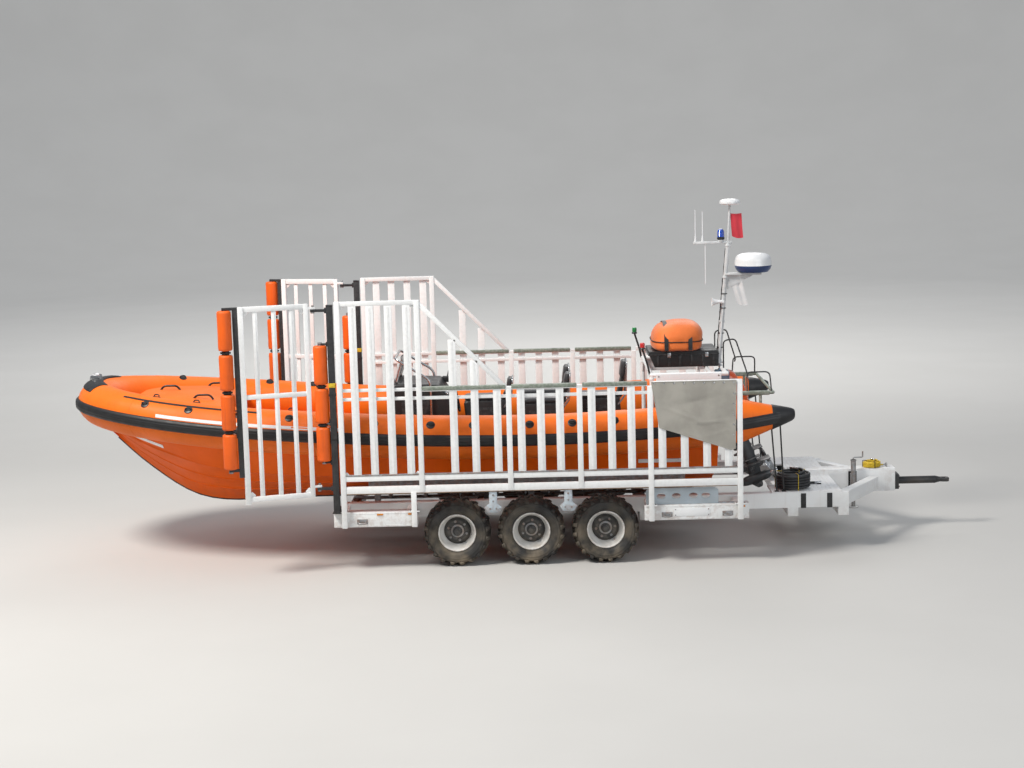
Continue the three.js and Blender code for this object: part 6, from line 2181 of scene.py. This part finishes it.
        tab = plate("tab", [(0.33, -0.565), (0.385, -0.565), (0.395, -0.61), (0.37, -0.615)], -0.005, 0.005,
                    0.002)
        shaft_end = rods("shaft_end", [((PROP_X - 0.02, 0, PROP_Z), (PROP_X + 0.07, 0, PROP_Z), 0.0118)], 20)
        slots = [((0.13, s * 0.0365 - 0.002, -0.6 - 0.012 * i), (0.2, s * 0.0365 + 0.002, -0.596 - 0.012 * i))
                 for s in (-1, 1) for i in range(5)]
        grille = bars("grille", slots, 0.001, 1)
        return painted(joined("leg", shaft, pin, lug, fin, upper_fin, body, skeg, tab, shaft_end, grille),
                       "casting")

    def propeller(self):
        place = pitched(PROP_X, 0, PROP_Z, 90)
        hub = turned("hub", [(0.0125, 0.001), (0.036, 0.001), (0.038, 0.006), (0.037, 0.07), (0.034, 0.0895),
                             (0.03, 0.0895), (0.029, 0.076), (0.0, 0.076), (0.0, 0.0715), (0.0125, 0.0715)],
                     place, 36)

        root, span = 0.032, 0.13

        def blade_point(u, w):
            radius = root + span * u
            chord = 0.045 + 0.05 * sin(pi * min(1.0, 0.25 + 0.75 * u) * 0.94) if u < 0.999 else 0.02
            if u > 0.8:
                chord *= sqrt(max(0.08, 1 - ((u - 0.8) / 0.2) ** 2))
            across = (w - 0.5) * chord
            pitch = radians(56 - 30 * u)
            x = across * cos(pi / 2 - pitch) + 0.012 * sin(pi * w)
            around = across * sin(pi / 2 - pitch) / radius + 0.25 * u
            return Vector((PROP_X + 0.045 + x * 0.8, radius * sin(around), PROP_Z + radius * cos(around)))
        blade = surface("blade", 14, 10, blade_point, caps=False)
        thickened(blade, 0.006)
        modified(blade, "SUBSURF", levels=1, render_levels=1)
        axis = Matrix.Translation((0, 0, PROP_Z))
        blades = [copied(blade, "blade", axis @ Matrix.Rotation(2 * pi * i / 3, 4, "X") @ axis.inverted())
                  for i in range(3)]
        discard(blade)
        nut = rods("nut", [((PROP_X + 0.07, 0, PROP_Z), (PROP_X + 0.088, 0, PROP_Z), 0.017)], 6, 0.001)
        return painted(smoothed(joined("propeller", hub, *blades, nut), 50), "propeller")


class RESCUE_OT_canvas(bpy.types.Operator):
    """Canvas screen laced to the aft end of the port cage"""
    bl_idname = "rescue.canvas"
    bl_label = "Canvas screen"

    def execute(self, context):
        head_x, knee_x, heel_x = 1.562, 1.65, 2.44
        head_z, knee_z, heel_z = 2.072, 1.56, 1.295

        def low_edge(x):
            """Height of the lower edge: steep down to the knee, then slanting to the heel."""
            if x < knee_x:
                t = (x - head_x) / (knee_x - head_x)
                return head_z - (head_z - knee_z) * min(1.0, t * 1.12) if t < 0.9 else knee_z
            if x < heel_x:
                return knee_z + (heel_z - knee_z) * (x - knee_x) / (heel_x - knee_x)
            return heel_z + 0.012 * (x - heel_x) / 0.045

        face_y = -CAGE_Y - CAGE_HALF - 0.0042
        # columns: place that the crease passes, how it runs in degrees, width, height
        creases = ((2.3, 1.62, 4, 0.02, 0.005), (1.9, 1.7, -22, 0.026, 0.005), (2.1, 1.86, 9, 0.03, -0.004),
                   (2.36, 1.5, 14, 0.018, 0.004))

        def point(u, w):
            top_x = head_x + 0.938 * u
            low_x = 1.645 + 0.84 * u
            low_z = low_edge(low_x)
            x = low_x + (top_x - low_x) * w
            z = low_z + (head_z - low_z) * w
            bulge = 0.004 * sin(9 * x + 4 * z) + 0.0024 * sin(21 * z - 4 * x)
            for near_x, near_z, run, wide, high in creases:
                off = (z - near_z) * cos(radians(run)) - (x - near_x) * sin(radians(run))
                along = (x - near_x) / 0.3
                bulge += high * exp(-(off / wide) ** 2 - along ** 2)
            slack = sin(pi * u) * sin(pi * w)
            return Vector((x, face_y - bulge * slack * 1.5, z))
        cloth = surface("canvas_cloth", 90, 72, point, caps=False)
        thickened(cloth, 0.0018)
        put(painted(smoothed(cloth, 60), "canvas"), "canvas_fabric", "canvas_screen")
        hems = []
        for fixed in (0.0, 1.0):
            hems.append(pipe("hem", [point(i / 40, fixed) for i in range(41)], 0.004, 3))
            hems.append(pipe("hem", [point(fixed, i / 40) for i in range(41)], 0.004, 3))
        spots = [point(0.03 + 0.94 * i / 8, 0.97) for i in range(9)]
        spots += [point(0.975, 0.06 + 0.9 * i / 6) for i in range(1, 6)]
        eyelets = [(spot + Vector((0, 0.003, 0)), spot + Vector((0, -0.004, 0)), 0.011) for spot in spots]
        hem = painted(joined("canvas_hem", *hems), "canvas")
        rings = painted(rods("canvas_eyelets", eyelets, 20, 0.001), "stainless")
        put(hem, "canvas_fabric")
        put(rings, "canvas_fabric")
        return {"FINISHED"}


# Panel and registration

STEPS = (
    RESCUE_OT_stage,
    RESCUE_OT_cords,
    RESCUE_OT_hull,
    RESCUE_OT_tubes,
    RESCUE_OT_foredeck,
    RESCUE_OT_wheels,
    RESCUE_OT_cages,
    RESCUE_OT_gate_posts,
    RESCUE_OT_gates,
    RESCUE_OT_chassis,
    RESCUE_OT_seats,
    RESCUE_OT_console,
    RESCUE_OT_gantry,
    RESCUE_OT_mast,
    RESCUE_OT_stern_guard,
    RESCUE_OT_outboards,
    RESCUE_OT_canvas,
)


class RESCUE_PT_pieces(bpy.types.Panel):
    """Sizes, colours and the steps that build the boat and its carriage"""
    bl_idname = "RESCUE_PT_pieces"
    bl_label = "Rescue boat"
    bl_space_type = "VIEW_3D"
    bl_region_type = "UI"
    bl_category = "Rescue Boat"

    def draw(self, context):
        for group in (context.scene.boat_sizes, context.scene.boat_colours):
            column = self.layout.column(align=True)
            for key in group.bl_rna.properties.keys():
                if key not in ("rna_type", "name"):
                    column.prop(group, key)
        column = self.layout.column(align=True)
        for step in STEPS:
            column.operator(step.bl_idname)


CLASSES = (BoatColours, BoatSizes, *STEPS, RESCUE_PT_pieces)


def register():
    for cls in CLASSES:
        bpy.utils.register_class(cls)
    bpy.types.Scene.boat_colours = PointerProperty(type=BoatColours)
    bpy.types.Scene.boat_sizes = PointerProperty(type=BoatSizes)


def unregister():
    del bpy.types.Scene.boat_sizes
    del bpy.types.Scene.boat_colours
    for cls in reversed(CLASSES):
        bpy.utils.unregister_class(cls)


def main():
    register()
    for step in STEPS:
        area, name = step.bl_idname.split(".")
        getattr(getattr(bpy.ops, area), name)()
    clear_selection()


if __name__ == "__main__":
    main()
